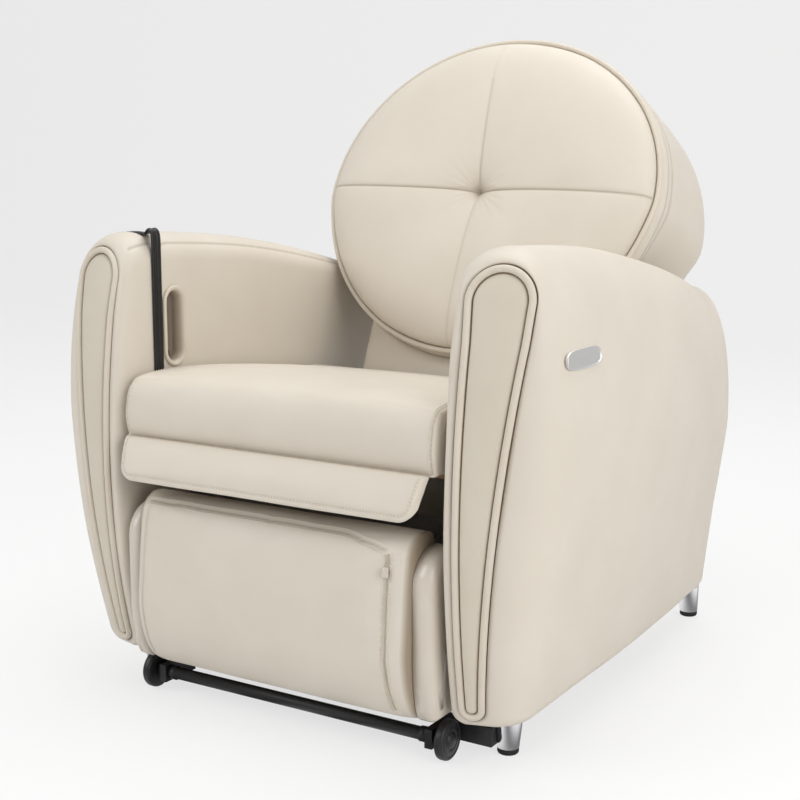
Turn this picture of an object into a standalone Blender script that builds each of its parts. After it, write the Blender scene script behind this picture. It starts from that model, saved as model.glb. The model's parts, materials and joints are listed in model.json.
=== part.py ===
"""Massage armchair with a round back, as separate pieces in metres, +Z up.

Sizes are set in the chair's own frame: x = 0 is the centre plane, y = 0 is the top of the arm
fronts with the sitter facing -Y, and z = 0 is the floor. The empty named chair moves that frame so
that the origin lies on the floor under the middle of the chair.
"""
import math

import bmesh
import bpy
from mathutils import Euler, Matrix, Vector

# Fits
REST_GAP = 0.0003  # between pieces that lie against each other
RUN_GAP = 0.0005  # round a shaft that turns or slides in a hole

# Seat
SEAT_HALF_WIDTH = 0.272
SEAT_SIDE_GAP = 0.006  # room between the cushion and each arm
SEAT_FRONT_Y = -0.048
SEAT_REAR_Y = 0.464
SEAT_BOTTOM_Z = 0.4128
SEAT_FRONT_TOP_Z = 0.503
SEAT_REAR_TOP_Z = 0.462
SEAT_EDGE = 0.024
SEAT_EDGE_STEPS = 3
SEAT_LEVEL = 0.096  # level part of the top, from the front
PAN_THICKNESS = 0.0125
PAN_OVERHANG = 0.05  # cushion that stands past the pan's front edge

# Arms, given for the right arm
ARM_INNER_X = SEAT_HALF_WIDTH + SEAT_SIDE_GAP  # flat inner face
ARM_WIDTH = 0.157
ARM_OUTER_X = ARM_INNER_X + ARM_WIDTH  # fullest point of the outer face
ARM_CREST_OFFSET = 0.057  # from the inner face to the ridge line of the arm top
ARM_CREST_X = ARM_INNER_X + ARM_CREST_OFFSET
ARM_FLOOR_Z = 0.062
ARM_HEIGHT = 0.715
ARM_WAIST_DROP = 0.265  # from the arm top to the fullest point
ARM_WAIST_Z = ARM_HEIGHT - ARM_WAIST_DROP
ARM_FLARE = 0.056  # how far the outer face draws in towards the floor
ARM_FLARE_FOOT = 0.09  # height by which it is drawn in that far
ARM_FLARE_RUN = ARM_WAIST_Z - ARM_FLARE_FOOT
ARM_FLARE_POWER = 1.2
ARM_SHOULDER_POWER = 2.4  # squareness of the outer shoulder
ARM_INNER_ROUND = 0.045  # height of the rounded inner top edge
ARM_INNER_POWER = 2.2
ARM_HEM = 0.018  # rounding along the bottom edge
ARM_DROP = 0.12  # fall of the crest over ARM_DROP_RUN
ARM_DROP_RUN = 0.74
ARM_DROP_POWER = 2.0
ARM_LENGTH = 0.797
ARM_FRONT_ROUND = 0.05
ARM_REAR_ROUND = 0.12
ARM_REAR_NARROW = 0.25  # width left at the rear end
ARM_REAR_LOW = 0.78  # height left at the rear end
ARM_TUCK = 0.048  # how far the outer face draws in towards the rear
ARM_TUCK_START = 0.30
ARM_TUCK_FOOT = 0.55  # share of it that is left at the floor
ARM_TUCK_RISE = 0.20  # height above the arm's underside at which it is full
ARM_WALL = 0.032  # foam and leather over the core
ARM_LEVELS = (0.0, 0.02, 0.12, 0.25, 0.38, 0.5, 0.62, 0.74, 0.84, 0.91, 0.95, 0.98, 0.995)
ARM_BODY_SPANS = 6
ARM_ROUND_STEPS = 3
CORE_LEVELS = (0.0, 0.2, 0.45, 0.7, 0.86, 0.93)
CORE_FRONT_Y = 0.032
CORE_REAR_MARGIN = 0.06
CORE_SPANS = 6

# Arm front panel, a teardrop that is wide at the top
FRONT_TOP_DROP = 0.020  # from the arm top to the panel's top
FRONT_TOP_Z = ARM_HEIGHT - FRONT_TOP_DROP
FRONT_BOTTOM_RISE = 0.011
FRONT_BOTTOM_Z = ARM_FLOOR_Z + FRONT_BOTTOM_RISE
FRONT_TOP_RADIUS = 0.049
FRONT_BOTTOM_RADIUS = 0.0205
FRONT_WIDTH_POWER = 1.15
FRONT_TIP = 0.004  # half width of the lowest edge
FRONT_TOP_OFFSET = 0.0715  # panel middle at its top, from the arm's inner face
FRONT_BOTTOM_OFFSET = 0.0355
FRONT_TOP_X = ARM_INNER_X + FRONT_TOP_OFFSET
FRONT_BOTTOM_X = ARM_INNER_X + FRONT_BOTTOM_OFFSET
FRONT_BULGE = 0.052  # how far the front stands out at its fullest
FRONT_BULGE_ABOVE = 0.314  # from the fullest height to where the front is at y = 0
FRONT_BULGE_DROP = 0.37  # from the arm top to the fullest height
FRONT_BULGE_Z = ARM_HEIGHT - FRONT_BULGE_DROP
FRONT_BULGE_RUNOUT = 0.062  # how far under the arm the front would come back to y = 0
FRONT_BULGE_BELOW = FRONT_BULGE_Z - ARM_FLOOR_Z + FRONT_BULGE_RUNOUT
FRONT_TURN = math.radians(11)  # the front looks slightly outwards
PANEL_INSET = 0.0135
PANEL_DEPTH = 0.010
PANEL_EDGE = 0.005
PANEL_ROUND = 0.003  # how far the panel face draws in at its edge
PANEL_GAP = 0.0017  # rest gap plus the sag of the arm front's facets
PANEL_ARC_STEPS = 4
PANEL_SIDE_STEPS = 6
WELT_RADIUS = 0.005
WELT_INSET = 0.0065
WELT_SIDES = 6

# Badge plate on the right arm, left bare
BADGE_LENGTH = 0.105
BADGE_HEIGHT = 0.028
BADGE_THICKNESS = 0.004
BADGE_SUNK = 0.002
BADGE_EDGE = 0.001
BADGE_Y = 0.068
BADGE_DROP = 0.145  # from the arm top
BADGE_Z = ARM_HEIGHT - BADGE_DROP

# Pocket with the release paddle, in the left arm
POCKET_Y = 0.077
POCKET_DROP = 0.1475  # from the arm top to the pocket's middle
POCKET_Z = ARM_HEIGHT - POCKET_DROP
POCKET_LENGTH = 0.115
POCKET_WIDTH = 0.040
POCKET_DEPTH = 0.024
POCKET_WALL = 0.003
POCKET_LIP = 0.006
POCKET_LIP_HEIGHT = 0.004
PADDLE_LENGTH = 0.082
PADDLE_WIDTH = 0.020
PADDLE_THICKNESS = 0.004
PADDLE_HEEL = 0.0015  # paddle behind its pin
PADDLE_PIN_RADIUS = 0.0013
PADDLE_PIN_SIDES = 12

# Strap over the left arm
STRAP_Y = 0.0375
STRAP_WIDTH = 0.026
STRAP_THICKNESS = 0.0026
STRAP_LOW_Z = 0.47  # inner end, down in the crease beside the seat
STRAP_TUCK = 0.012  # length turned in under the arm
STRAP_MITRE = 0.3  # least share of a corner that the strap follows

# Flap at the seat front
FLAP_TOP_INSET = 0.008  # from the seat's side
FLAP_BOTTOM_INSET = 0.018
FLAP_TOP_HALF = SEAT_HALF_WIDTH - FLAP_TOP_INSET
FLAP_BOTTOM_HALF = SEAT_HALF_WIDTH - FLAP_BOTTOM_INSET
FLAP_LENGTH = 0.067
FLAP_THICKNESS = 0.014
FLAP_CORNER = 0.022
FLAP_EDGE = 0.0035
FLAP_TILT = math.radians(23.7)

# Base frame, welded from square tube
TUBE = 0.025
CROSS_INSET = 0.003  # how much slimmer cross tubes are than the side frames, per face
FRAME_FRONT_Y = 0.105
FRAME_REAR_Y = 0.585
FRAME_LOW_Z = 0.10
FRAME_MID_Z = 0.289  # underside of the tube that carries the leg rest
FRAME_REAR_Z = 0.33  # underside of the tube that carries the backrest
EAR_THICKNESS = 0.006
EAR_RADIUS = 0.017
EAR_FOOT_SHARE = 0.45  # radius of an ear's foot as a share of the tube

# Feet
FOOT_OFFSET = 0.047  # from the arm's inner face
FOOT_X = ARM_INNER_X + FOOT_OFFSET
FOOT_FRONT_Y = 0.068
FOOT_REAR_INSET = 0.028  # from the arm's rear end
FOOT_REAR_Y = ARM_LENGTH - FOOT_REAR_INSET
FOOT_TOP_RADIUS = 0.022
FOOT_BOTTOM_RADIUS = 0.016
FOOT_SPLAY = math.radians(15)  # rear feet lean backwards
GLIDE_HEIGHT = 0.008
GLIDE_RADIUS = 0.0155
GLIDE_BASE_RADIUS = 0.0132
ROUND_SEGMENTS = 16  # sides of rods, pins and holes
TURNED_SEGMENTS = 24  # sides of feet, glides and wheels
END_STEPS = 6  # steps of a bar's round end
SHARP_EDGE = 35  # edges that turn by more degrees are shaded sharp
SOFT_EDGE = 25  # edges that turn by more degrees are rounded

# Transport wheels
WHEEL_INSET = 0.013  # from the arm's inner face
WHEEL_X = ARM_INNER_X - WHEEL_INSET
WHEEL_Z = 0.030
WHEEL_RADIUS = 0.029
WHEEL_WIDTH = 0.014
WHEEL_RIM = 0.0018  # bevel of the wheel's edges
AXLE_RADIUS = 0.0095
AXLE_STUB_RADIUS = 0.005
BRACKET_INSET = 0.023  # from the wheel
BRACKET_X = WHEEL_X - BRACKET_INSET
BRACKET_THICKNESS = 0.012
BRACKET_NOSE = 0.014  # bracket in front of the axle
BRACKET_HEIGHT = 0.028
BRACKET_ARM_Y = 0.036  # front face of the arm that reaches out to the foot
BRACKET_ARM_DEPTH = 0.022
BRACKET_WRAP = 0.012  # how far the arm reaches past the foot's near side

# Leg rest
LEG_AXIS_Y = 0.045
LEG_AXIS_Z = 0.275
LEG_INSET = 0.0365  # from the arm's inner face, room for a side panel
LEG_HALF_WIDTH = ARM_INNER_X - LEG_INSET
LEG_BACK_Y = 0.004
LEG_BOTTOM_Z = 0.062
LEG_TOP_Z = 0.327
LEG_FRONT_TOP = (-0.066, 0.29)  # y and z of the upper end of the flat front
LEG_FRONT_BOTTOM = (-0.079, 0.17)
LEG_SIDE_FALL = 0.016  # how far the front draws back at the sides
LEG_SHOULDER = 0.045  # width over which it draws back
LEG_SHOULDER_SHARES = (0.0, 0.4, 0.75, 0.93, 1.0)
LEG_ARC_STEPS = 4
LEG_PLATE = 0.004
LEG_LUG_X = 0.19
LEG_ROD_RADIUS = 0.007
LEG_EAR_X = 0.207
SIDE_PANEL_THICKNESS = 0.0297
SIDE_PANEL_FRONT_Y = -0.056
SIDE_PANEL_BACK_Y = 0.046
SIDE_PANEL_BOTTOM_Z = 0.066
SIDE_PANEL_TOP_Z = 0.309
SIDE_PANEL_EDGE = 0.008
SIDE_PANEL_ARC_STEPS = 8
SIDE_PANEL_SHARP = 45  # edges that turn by more degrees are rounded
ZIP_INSET = 0.0347  # from the pad's side
ZIP_X = LEG_HALF_WIDTH - ZIP_INSET
ZIP_TOP_Z = 0.286
ZIP_PULL_WIDTH = 0.009
ZIP_PULL_LENGTH = 0.014
ZIP_PULL_THICKNESS = 0.004
GEAR_X = 0.055
GEAR_WIDTH = 0.05
GEAR_RADIUS = 0.028
MOTOR_RADIUS = 0.024
MOTOR_LENGTH = 0.11

# Backrest: its pieces are set in a plane that leans back, with its middle at the tuft
BACK_Y = 0.587
BACK_Z = 0.765
BACK_TILT = math.radians(23.3)
RECLINE_Y = 0.50
RECLINE_Z = 0.40
DISC_OVERLAP = 0.04  # of each arm's inner face
DISC_HALF_WIDTH = ARM_INNER_X + DISC_OVERLAP
DISC_HALF_HEIGHT = 0.288
DISC_CROWN = 0.043  # how far the padded face stands out before its welt
DISC_CROWN_ROWS = (  # shares of the radius and of the crown
    (0.04, 0.8),
    (0.14, 0.95),
    (0.3, 1.0),
    (0.5, 0.955),
    (0.75, 0.82),
    (0.88, 0.64),
    (0.96, 0.43),
)
DISC_THICKNESS = 0.028
DISC_GUSSET = 0.006
DISC_SEGMENTS = 40
DISC_NARROW = 0.045  # how much slimmer its lower half is, to clear the arms
DISC_NARROW_POWER = 0.6  # below one, the narrowing starts early
BACK_WELT_RADIUS = 0.0045
SHELL_DEPTH = 0.303
SHELL_BULGE = 0.016
SHELL_WALL = 0.009
SHELL_NARROW_SHARE = 0.22  # how much slimmer the lower half is, to pass between the arms
SHELL_ROWS = (  # growth in bulges, share of the depth, share of the narrowing, share of a gap's depth
    (0.4, 0.15, 0.6, 0.0),
    (0.4, 0.34, 1.0, 0.0),
    (0.4, 0.59, 1.0, 0.0),
    (0.1, 0.75, 0.75, 0.0),
    (-1.4, 0.88, 0.5, 0.0),
    (-5.0, 0.97, 0.25, 1.0),
    (-12.0, 1.0, 0.25, 1.0),
)
LUMBAR_HALF_WIDTH = 0.195
LUMBAR_TOP = -0.15
LUMBAR_BOTTOM = -0.362
LUMBAR_THICKNESS = 0.0165
UPRIGHT_X = 0.15
UPRIGHT_DEPTH = 0.1225
UPRIGHT_TOP = 0.19
UPRIGHT_BOTTOM = -0.285
CROSS_TOP = 0.17
CROSS_BOTTOM = -0.215
HINGE_PLATE = 0.006
PIVOT_RADIUS = 0.007
SLEEVE_RADIUS = 0.0125
RECLINE_EAR_X = 0.163
LEVER_LENGTH = 0.10
LEVER_THICKNESS = 0.008
LEVER_PIN_RADIUS = 0.005
LEVER_PIN_PLAY = 0.0045  # open pivot: the lever's arc rises and falls past the straight rod
RECLINE_RANGE = math.radians(15)
GAS_RADIUS = 0.011
GAS_LENGTH = 0.24
GAS_ROD_RADIUS = 0.005
GAS_BORE_MARGIN = 0.010  # bore left behind the rod when it is fully in
FORK_THICKNESS = 0.004

# Massage mechanism, in the same leaning plane
RAIL_X = 0.095
RAIL_DEPTH = 0.1225
RAIL_RADIUS = 0.008
SCREW_RADIUS = 0.007
SCREW_MOTOR_SIZE = 0.046
SCREW_MOTOR_HEIGHT = 0.042
CARRIAGE_HALF_WIDTH = 0.122
CARRIAGE_HEIGHT = 0.10
CARRIAGE_DEPTH = 0.036
CARRIAGE_MIDDLE = -0.02
CARRIAGE_WINDOW_WIDTH = 0.05
CARRIAGE_WINDOW_HEIGHT = 0.06
SHAFT_DEPTH = 0.078
SHAFT_RADIUS = 0.006
SHAFT_EAR_X = 0.108
SHAFT_EAR_THICKNESS = 0.006
ARM_PIVOT_X = 0.055
ROCKER_THICKNESS = 0.008
ROCKER_REACH = 0.07  # roller centres above and below the shaft
ROCKER_FORWARD = 0.012
ROCKER_HUB_RADIUS = 0.0143
ROCKER_END_RADIUS = 0.0088
ROLLER_RADIUS = 0.022
ROLLER_WIDTH = 0.026
ROLLER_PIN_RADIUS = 0.004
ROLLER_EDGE = 0.0052
ROLLER_EDGE_SHARE = 0.75
ROLLER_SHOULDER_SHARE = 0.95
ROCK_MOTOR_RADIUS = 0.017
ROCK_MOTOR_LENGTH = 0.05

# Rear cover between the arms
REAR_COVER_THICKNESS = 0.012
REAR_COVER_LOW_Z = 0.072
REAR_COVER_TOP_Z = 0.345
REAR_COVER_BOW = 0.018  # how far its middle stands out behind its sides
REAR_COVER_STEPS = 8

# Controls in the base
BOX_HALF_WIDTH = 0.09
BOX_DEPTH = 0.12
BOX_HEIGHT = 0.06
CASE_EDGE = 0.004
TRAY_DEPTH = 0.20
TRAY_THICKNESS = 0.003
INLET_WIDTH = 0.05
INLET_HEIGHT = 0.028
INLET_DEPTH = 0.058
INLET_WALL = 0.004

# Finishes: name, colour, roughness, metallic
LEATHER = ("cream_leather", (0.73, 0.65, 0.55), 0.5, 0.0)
GLOSS_WHITE = ("gloss_white", (0.80, 0.78, 0.74), 0.2, 0.0)
BLACK = ("black_plastic", (0.02, 0.02, 0.022), 0.45, 0.0)
RUBBER = ("black_rubber", (0.025, 0.025, 0.025), 0.75, 0.0)
CHROME = ("chrome", (0.82, 0.82, 0.84), 0.12, 1.0)
SILVER = ("silver", (0.62, 0.62, 0.63), 0.3, 1.0)
STEEL = ("painted_steel", (0.10, 0.10, 0.11), 0.5, 0.3)
BRIGHT_STEEL = ("bright_steel", (0.55, 0.56, 0.58), 0.3, 1.0)
WOOD = ("plywood", (0.52, 0.38, 0.22), 0.7, 0.0)
POCKET_PLASTIC = ("pocket_plastic", (0.62, 0.55, 0.46), 0.4, 0.0)
GREY_PLASTIC = ("grey_plastic", (0.22, 0.22, 0.23), 0.5, 0.0)

# Values that follow from the sizes above
PAN_BOTTOM_Z = SEAT_BOTTOM_Z - REST_GAP - PAN_THICKNESS
FRAME_TOP_Z = PAN_BOTTOM_Z - REST_GAP
FRAME_OUTER_X = ARM_INNER_X - REST_GAP
TRAY_Z = FRAME_LOW_Z + TUBE / 2
FLAP_HINGE_Y = SEAT_FRONT_Y - REST_GAP
FLAP_HINGE_Z = SEAT_BOTTOM_Z + REST_GAP
FLAP_REACH_Y = FLAP_HINGE_Y - FLAP_LENGTH * math.sin(FLAP_TILT) - FLAP_THICKNESS * math.cos(FLAP_TILT)


def clear_scene():
    for old in list(bpy.data.objects):
        bpy.data.objects.remove(old, do_unlink=True)


def finish_material(finish):
    name, colour, roughness, metallic = finish
    found = bpy.data.materials.get(name)
    if found:
        return found
    made = bpy.data.materials.new(name)
    made.use_nodes = True
    shader = made.node_tree.nodes["Principled BSDF"]
    shader.inputs["Base Color"].default_value = (*colour, 1.0)
    shader.inputs["Roughness"].default_value = roughness
    shader.inputs["Metallic"].default_value = metallic
    return made


def empty(name, location, parent=None, tilt=0.0):
    made = bpy.data.objects.new(name, None)
    bpy.context.collection.objects.link(made)
    made.location = location
    made.rotation_euler = Euler((tilt, 0.0, 0.0))
    made.parent = parent
    return made


def piece(name, mesh, finish, parent):
    """Link a bmesh as a named object under the empty that it turns or sits with."""
    bmesh.ops.recalc_face_normals(mesh, faces=mesh.faces)
    data = bpy.data.meshes.new(name)
    mesh.to_mesh(data)
    mesh.free()
    made = bpy.data.objects.new(name, data)
    bpy.context.collection.objects.link(made)
    data.materials.append(finish_material(finish))
    data.shade_smooth()
    data.set_sharp_from_angle(angle=math.radians(SHARP_EDGE))
    made.parent = parent


def loft(rings, cap=None):
    """Skin rings of equal length, closed at both ends by a flat face or by the given cap."""
    mesh = bmesh.new()
    rows = [[mesh.verts.new(point) for point in ring] for ring in rings]
    for row, following in zip(rows, rows[1:]):
        for index in range(len(row)):
            after = (index + 1) % len(row)
            mesh.faces.new((row[index], row[after], following[after], following[index]))
    for row in (rows[0], rows[-1]):
        if cap:
            cap(mesh, row)
        else:
            mesh.faces.new(row)
    return mesh


def ladder_cap(mesh, row):
    """Close a ring whose two sides mirror each other, rung by rung, round its single top point."""
    half = len(row) // 2
    for index in range(half - 1):
        mesh.faces.new((row[index], row[index + 1], row[-2 - index], row[-1 - index]))
    mesh.faces.new((row[half - 1], row[half], row[half + 1]))


def loop_cap(mesh, row):
    """Close a ring that starts at its top point and comes back up its other side."""
    half = len(row) // 2
    mesh.faces.new((row[0], row[1], row[-1]))
    for index in range(1, half - 1):
        mesh.faces.new((row[index], row[index + 1], row[-index - 1], row[-index]))
    mesh.faces.new((row[half - 1], row[half], row[half + 1]))


def prism(outline, low, high, axis="X"):
    """Extrude an outline of the two other axes, in X, Y, Z order, from low to high."""
    place = {
        "X": lambda a, b, c: Vector((c, a, b)),
        "Y": lambda a, b, c: Vector((a, c, b)),
        "Z": lambda a, b, c: Vector((a, b, c)),
    }[axis]
    return loft([[place(a, b, level) for a, b in outline] for level in (low, high)])


def box(low, high):
    outline = ((low[0], low[1]), (high[0], low[1]), (high[0], high[1]), (low[0], high[1]))
    return prism(outline, low[2], high[2], "Z")


def circle(radius, middle=(0.0, 0.0), segments=ROUND_SEGMENTS):
    steps = [2 * math.pi * index / segments for index in range(segments)]
    return [(middle[0] + radius * math.cos(step), middle[1] + radius * math.sin(step)) for step in steps]


def arc(middle, radius, start, stop, steps):
    """Points of an arc in degrees, both ends included."""
    turns = [math.radians(start + (stop - start) * index / steps) for index in range(steps + 1)]
    return [(middle[0] + radius * math.cos(turn), middle[1] + radius * math.sin(turn)) for turn in turns]


def link_outline(first, second, radius, second_radius=None):
    """Outline of a bar with round ends about two points."""
    run = Vector(second) - Vector(first)
    facing = math.degrees(math.atan2(run.y, run.x))
    ends = arc(second, second_radius or radius, facing - 90, facing + 90, END_STEPS)
    return ends + arc(first, radius, facing + 90, facing + 270, END_STEPS)


def rod(radius, start, stop, middle, axis="X", segments=ROUND_SEGMENTS):
    return prism(circle(radius, middle, segments), start, stop, axis)


def turned(profile, middle, axis="X", segments=ROUND_SEGMENTS):
    """Solid turned about an axis from (position, radius) pairs."""
    place = {
        "X": lambda a, b, c: Vector((c, a, b)),
        "Y": lambda a, b, c: Vector((a, c, b)),
        "Z": lambda a, b, c: Vector((a, b, c)),
    }[axis]
    rings = []
    for level, radius in profile:
        rings.append([place(a, b, level) for a, b in circle(radius, middle, segments)])
    return loft(rings)


def tube(path, radius, sides):
    """Round cord swept along a closed path."""
    rings = []
    for index, point in enumerate(path):
        along = (path[(index + 1) % len(path)] - path[index - 1]).normalized()
        side = along.cross(Vector((0, 1, 0))).normalized()
        other = along.cross(side)
        turns = [2 * math.pi * step / sides for step in range(sides)]
        rings.append([point + radius * (math.cos(turn) * side + math.sin(turn) * other) for turn in turns])
    mesh = bmesh.new()
    rows = [[mesh.verts.new(point) for point in ring] for ring in rings]
    for row, following in zip(rows, rows[1:] + rows[:1]):
        for index in range(sides):
            after = (index + 1) % sides
            mesh.faces.new((row[index], row[after], following[after], following[index]))
    return mesh


def combine(base, tool, operation):
    """Boolean of two bmeshes, as a new bmesh."""
    made = []
    for mesh in (base, tool):
        bmesh.ops.recalc_face_normals(mesh, faces=mesh.faces)
        data = bpy.data.meshes.new("work")
        mesh.to_mesh(data)
        mesh.free()
        made.append(bpy.data.objects.new("work", data))
        bpy.context.collection.objects.link(made[-1])
    step = made[0].modifiers.new("step", "BOOLEAN")
    step.object = made[1]
    step.operation = operation
    result = bmesh.new()
    result.from_object(made[0], bpy.context.evaluated_depsgraph_get())
    for work in made:
        data = work.data
        bpy.data.objects.remove(work, do_unlink=True)
        bpy.data.meshes.remove(data)
    bmesh.ops.remove_doubles(result, verts=result.verts, dist=1e-6)
    return result


def weld(*solids):
    whole = solids[0]
    for solid in solids[1:]:
        whole = combine(whole, solid, "UNION")
    return whole


def cut(base, *tools):
    for tool in tools:
        base = combine(base, tool, "DIFFERENCE")
    return base


def softened(mesh, width, segments=2, sharp=SOFT_EDGE, keep=None):
    """Round the edges that turn by more than the given angle, save those wholly at the kept height."""
    bmesh.ops.recalc_face_normals(mesh, faces=mesh.faces)
    edges = []
    for edge in mesh.edges:
        kept = keep is not None and all(abs(vert.co.z - keep) < REST_GAP for vert in edge.verts)
        if not kept and edge.calc_face_angle(0.0) > math.radians(sharp):
            edges.append(edge)
    bmesh.ops.bevel(mesh, geom=edges, offset=width, segments=segments, profile=0.5, affect="EDGES",
                    clamp_overlap=True)
    return mesh


def smooth_share(value):
    return max(0.0, min(1.0, value))


# Arm shape

def crest_z(y):
    return ARM_HEIGHT - ARM_DROP * (max(y, 0.0) / ARM_DROP_RUN) ** ARM_DROP_POWER


def outer_x(z, y):
    """Outer face of an arm at a height of its front, drawn in towards the rear."""
    tuck = ARM_TUCK * smooth_share((y - ARM_TUCK_START) / (ARM_LENGTH - ARM_TUCK_START)) ** 2
    tuck *= ARM_TUCK_FOOT + (1 - ARM_TUCK_FOOT) * smooth_share((z - ARM_FLOOR_Z) / ARM_TUCK_RISE)
    if z < ARM_WAIST_Z:
        draw = ARM_FLARE * ((ARM_WAIST_Z - z) / ARM_FLARE_RUN) ** ARM_FLARE_POWER
        return ARM_OUTER_X - draw - tuck
    rise = smooth_share((z - ARM_WAIST_Z) / (ARM_HEIGHT - ARM_WAIST_Z)) ** ARM_SHOULDER_POWER
    reach = (1 - rise) ** (1 / ARM_SHOULDER_POWER)
    return ARM_CREST_X + (ARM_OUTER_X - tuck - ARM_CREST_X) * reach


def inner_x(z):
    start = ARM_HEIGHT - ARM_INNER_ROUND
    rise = smooth_share((z - start) / ARM_INNER_ROUND) ** ARM_INNER_POWER
    reach = (1 - rise) ** (1 / ARM_INNER_POWER)
    return ARM_CREST_X - (ARM_CREST_X - ARM_INNER_X) * reach


def arm_outline(y, levels, inset=0.0, floor=ARM_FLOOR_Z, hem=0.0):
    """Section of an arm at depth y: up the inner face, over the crest, down the outer face."""
    inner, outer = [], []
    top = crest_z(y) - inset
    for level in levels:
        front_z = ARM_FLOOR_Z + level * (ARM_HEIGHT - ARM_FLOOR_Z)
        z = floor if level == 0.0 else ARM_FLOOR_Z + level * (top - ARM_FLOOR_Z)
        edge = hem if level == 0.0 else 0.0
        inner.append(((inner_x(front_z) + inset + edge), z))
        outer.append(((outer_x(front_z, y) - inset - edge), z))
    return inner + [(ARM_CREST_X, top)] + outer[::-1]


# Arm front shape

def front_middle_x(z):
    share = smooth_share((z - FRONT_BOTTOM_Z) / (FRONT_TOP_Z - 2 * FRONT_TOP_RADIUS - FRONT_BOTTOM_Z))
    return FRONT_BOTTOM_X + (FRONT_TOP_X - FRONT_BOTTOM_X) * share


def front_half_width(z):
    top_z = FRONT_TOP_Z - FRONT_TOP_RADIUS
    bottom_z = FRONT_BOTTOM_Z + FRONT_BOTTOM_RADIUS
    if z > top_z:
        return math.sqrt(max(0.0, FRONT_TOP_RADIUS ** 2 - (z - top_z) ** 2))
    if z < bottom_z:
        return math.sqrt(max(0.0, FRONT_BOTTOM_RADIUS ** 2 - (z - bottom_z) ** 2))
    share = ((z - bottom_z) / (top_z - bottom_z)) ** FRONT_WIDTH_POWER
    return FRONT_BOTTOM_RADIUS + (FRONT_TOP_RADIUS - FRONT_BOTTOM_RADIUS) * share


def front_y(z):
    run = FRONT_BULGE_ABOVE if z > FRONT_BULGE_Z else FRONT_BULGE_BELOW
    return -FRONT_BULGE * (1 - ((z - FRONT_BULGE_Z) / run) ** 2)


def front_point(side, z, across, behind):
    """Point of an arm front, at a distance across it and behind the front panel's face."""
    y = front_y(z) + math.tan(FRONT_TURN) * across + behind
    return Vector((side * (front_middle_x(z) + across), y, z))


def front_loop(inset):
    """Heights and half widths of the teardrop, from its top down to its bottom."""
    top_z = FRONT_TOP_Z - FRONT_TOP_RADIUS
    bottom_z = FRONT_BOTTOM_Z + FRONT_BOTTOM_RADIUS
    half = []
    for across, rise in arc((0, 0), FRONT_TOP_RADIUS - inset, 90, 0, PANEL_ARC_STEPS):
        half.append((top_z + rise, across))
    for index in range(1, PANEL_SIDE_STEPS):
        z = top_z + (bottom_z - top_z) * index / PANEL_SIDE_STEPS
        half.append((z, front_half_width(z) - inset))
    for across, rise in arc((0, 0), FRONT_BOTTOM_RADIUS - inset, 0, -90, PANEL_ARC_STEPS):
        half.append((bottom_z + rise, across))
    return half + [(z, -across) for z, across in half[-2:0:-1]]


def arm_rings(side):
    """Rings of an arm cover, from its front face to its rear end."""
    body_front = arm_outline(0.0, ARM_LEVELS, hem=ARM_HEM)
    count = len(body_front)
    face = []
    for index, (_, z) in enumerate(body_front):
        level = (z - ARM_FLOOR_Z) / (ARM_HEIGHT - ARM_FLOOR_Z)
        front_z = FRONT_BOTTOM_Z + level * (FRONT_TOP_Z - FRONT_BOTTOM_Z)
        reach = max(front_half_width(front_z), FRONT_TIP) if index != count // 2 else 0.0
        across = -reach if index < count // 2 else reach
        face.append(front_point(1, front_z, across, PANEL_DEPTH))
    rings = [face]
    for step in range(1, ARM_ROUND_STEPS + 1):
        turn = math.radians(90 * step / ARM_ROUND_STEPS)
        ring = []
        for point, (x, z) in zip(face, body_front):
            spread = math.sin(turn)
            y = point.y + (ARM_FRONT_ROUND - point.y) * (1 - math.cos(turn))
            ring.append(Vector((point.x + (x - point.x) * spread, y, point.z + (z - point.z) * spread)))
        rings.append(ring)
    body_start = ARM_FRONT_ROUND
    body_end = ARM_LENGTH - ARM_REAR_ROUND
    for span in range(1, ARM_BODY_SPANS + 1):
        y = body_start + (body_end - body_start) * span / ARM_BODY_SPANS
        rings.append([Vector((x, y, z)) for x, z in arm_outline(y, ARM_LEVELS, hem=ARM_HEM)])
    last = arm_outline(body_end, ARM_LEVELS, hem=ARM_HEM)
    middle_x = (ARM_INNER_X + ARM_OUTER_X - ARM_TUCK) / 2
    for step in range(1, ARM_ROUND_STEPS + 1):
        turn = math.radians(90 * step / ARM_ROUND_STEPS)
        shrink = 1 - math.cos(turn)
        ring = []
        for x, z in last:
            narrow = middle_x + (x - middle_x) * ARM_REAR_NARROW
            low = ARM_FLOOR_Z + (z - ARM_FLOOR_Z) * ARM_REAR_LOW
            y = body_end + ARM_REAR_ROUND * math.sin(turn)
            ring.append(Vector((x + (narrow - x) * shrink, y, z + (low - z) * shrink)))
        rings.append(ring)
    return [[Vector((side * point.x, point.y, point.z)) for point in ring] for ring in rings]


def core_mesh(side, gap, floor):
    """Arm core, or with a gap the hollow that it fills."""
    start = CORE_FRONT_Y - gap
    stop = ARM_LENGTH - CORE_REAR_MARGIN + gap
    rings = []
    for span in range(CORE_SPANS + 1):
        y = start + (stop - start) * span / CORE_SPANS
        outline = arm_outline(y, CORE_LEVELS, inset=ARM_WALL - gap, floor=floor)
        rings.append([Vector((side * x, y, z)) for x, z in outline])
    return loft(rings, ladder_cap)


# Arms

def arm_surface_x(z, y):
    """Outer face of the built arm at a real height."""
    level = (z - ARM_FLOOR_Z) / (crest_z(y) - ARM_FLOOR_Z)
    return outer_x(ARM_FLOOR_Z + level * (ARM_HEIGHT - ARM_FLOOR_Z), y)


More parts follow.
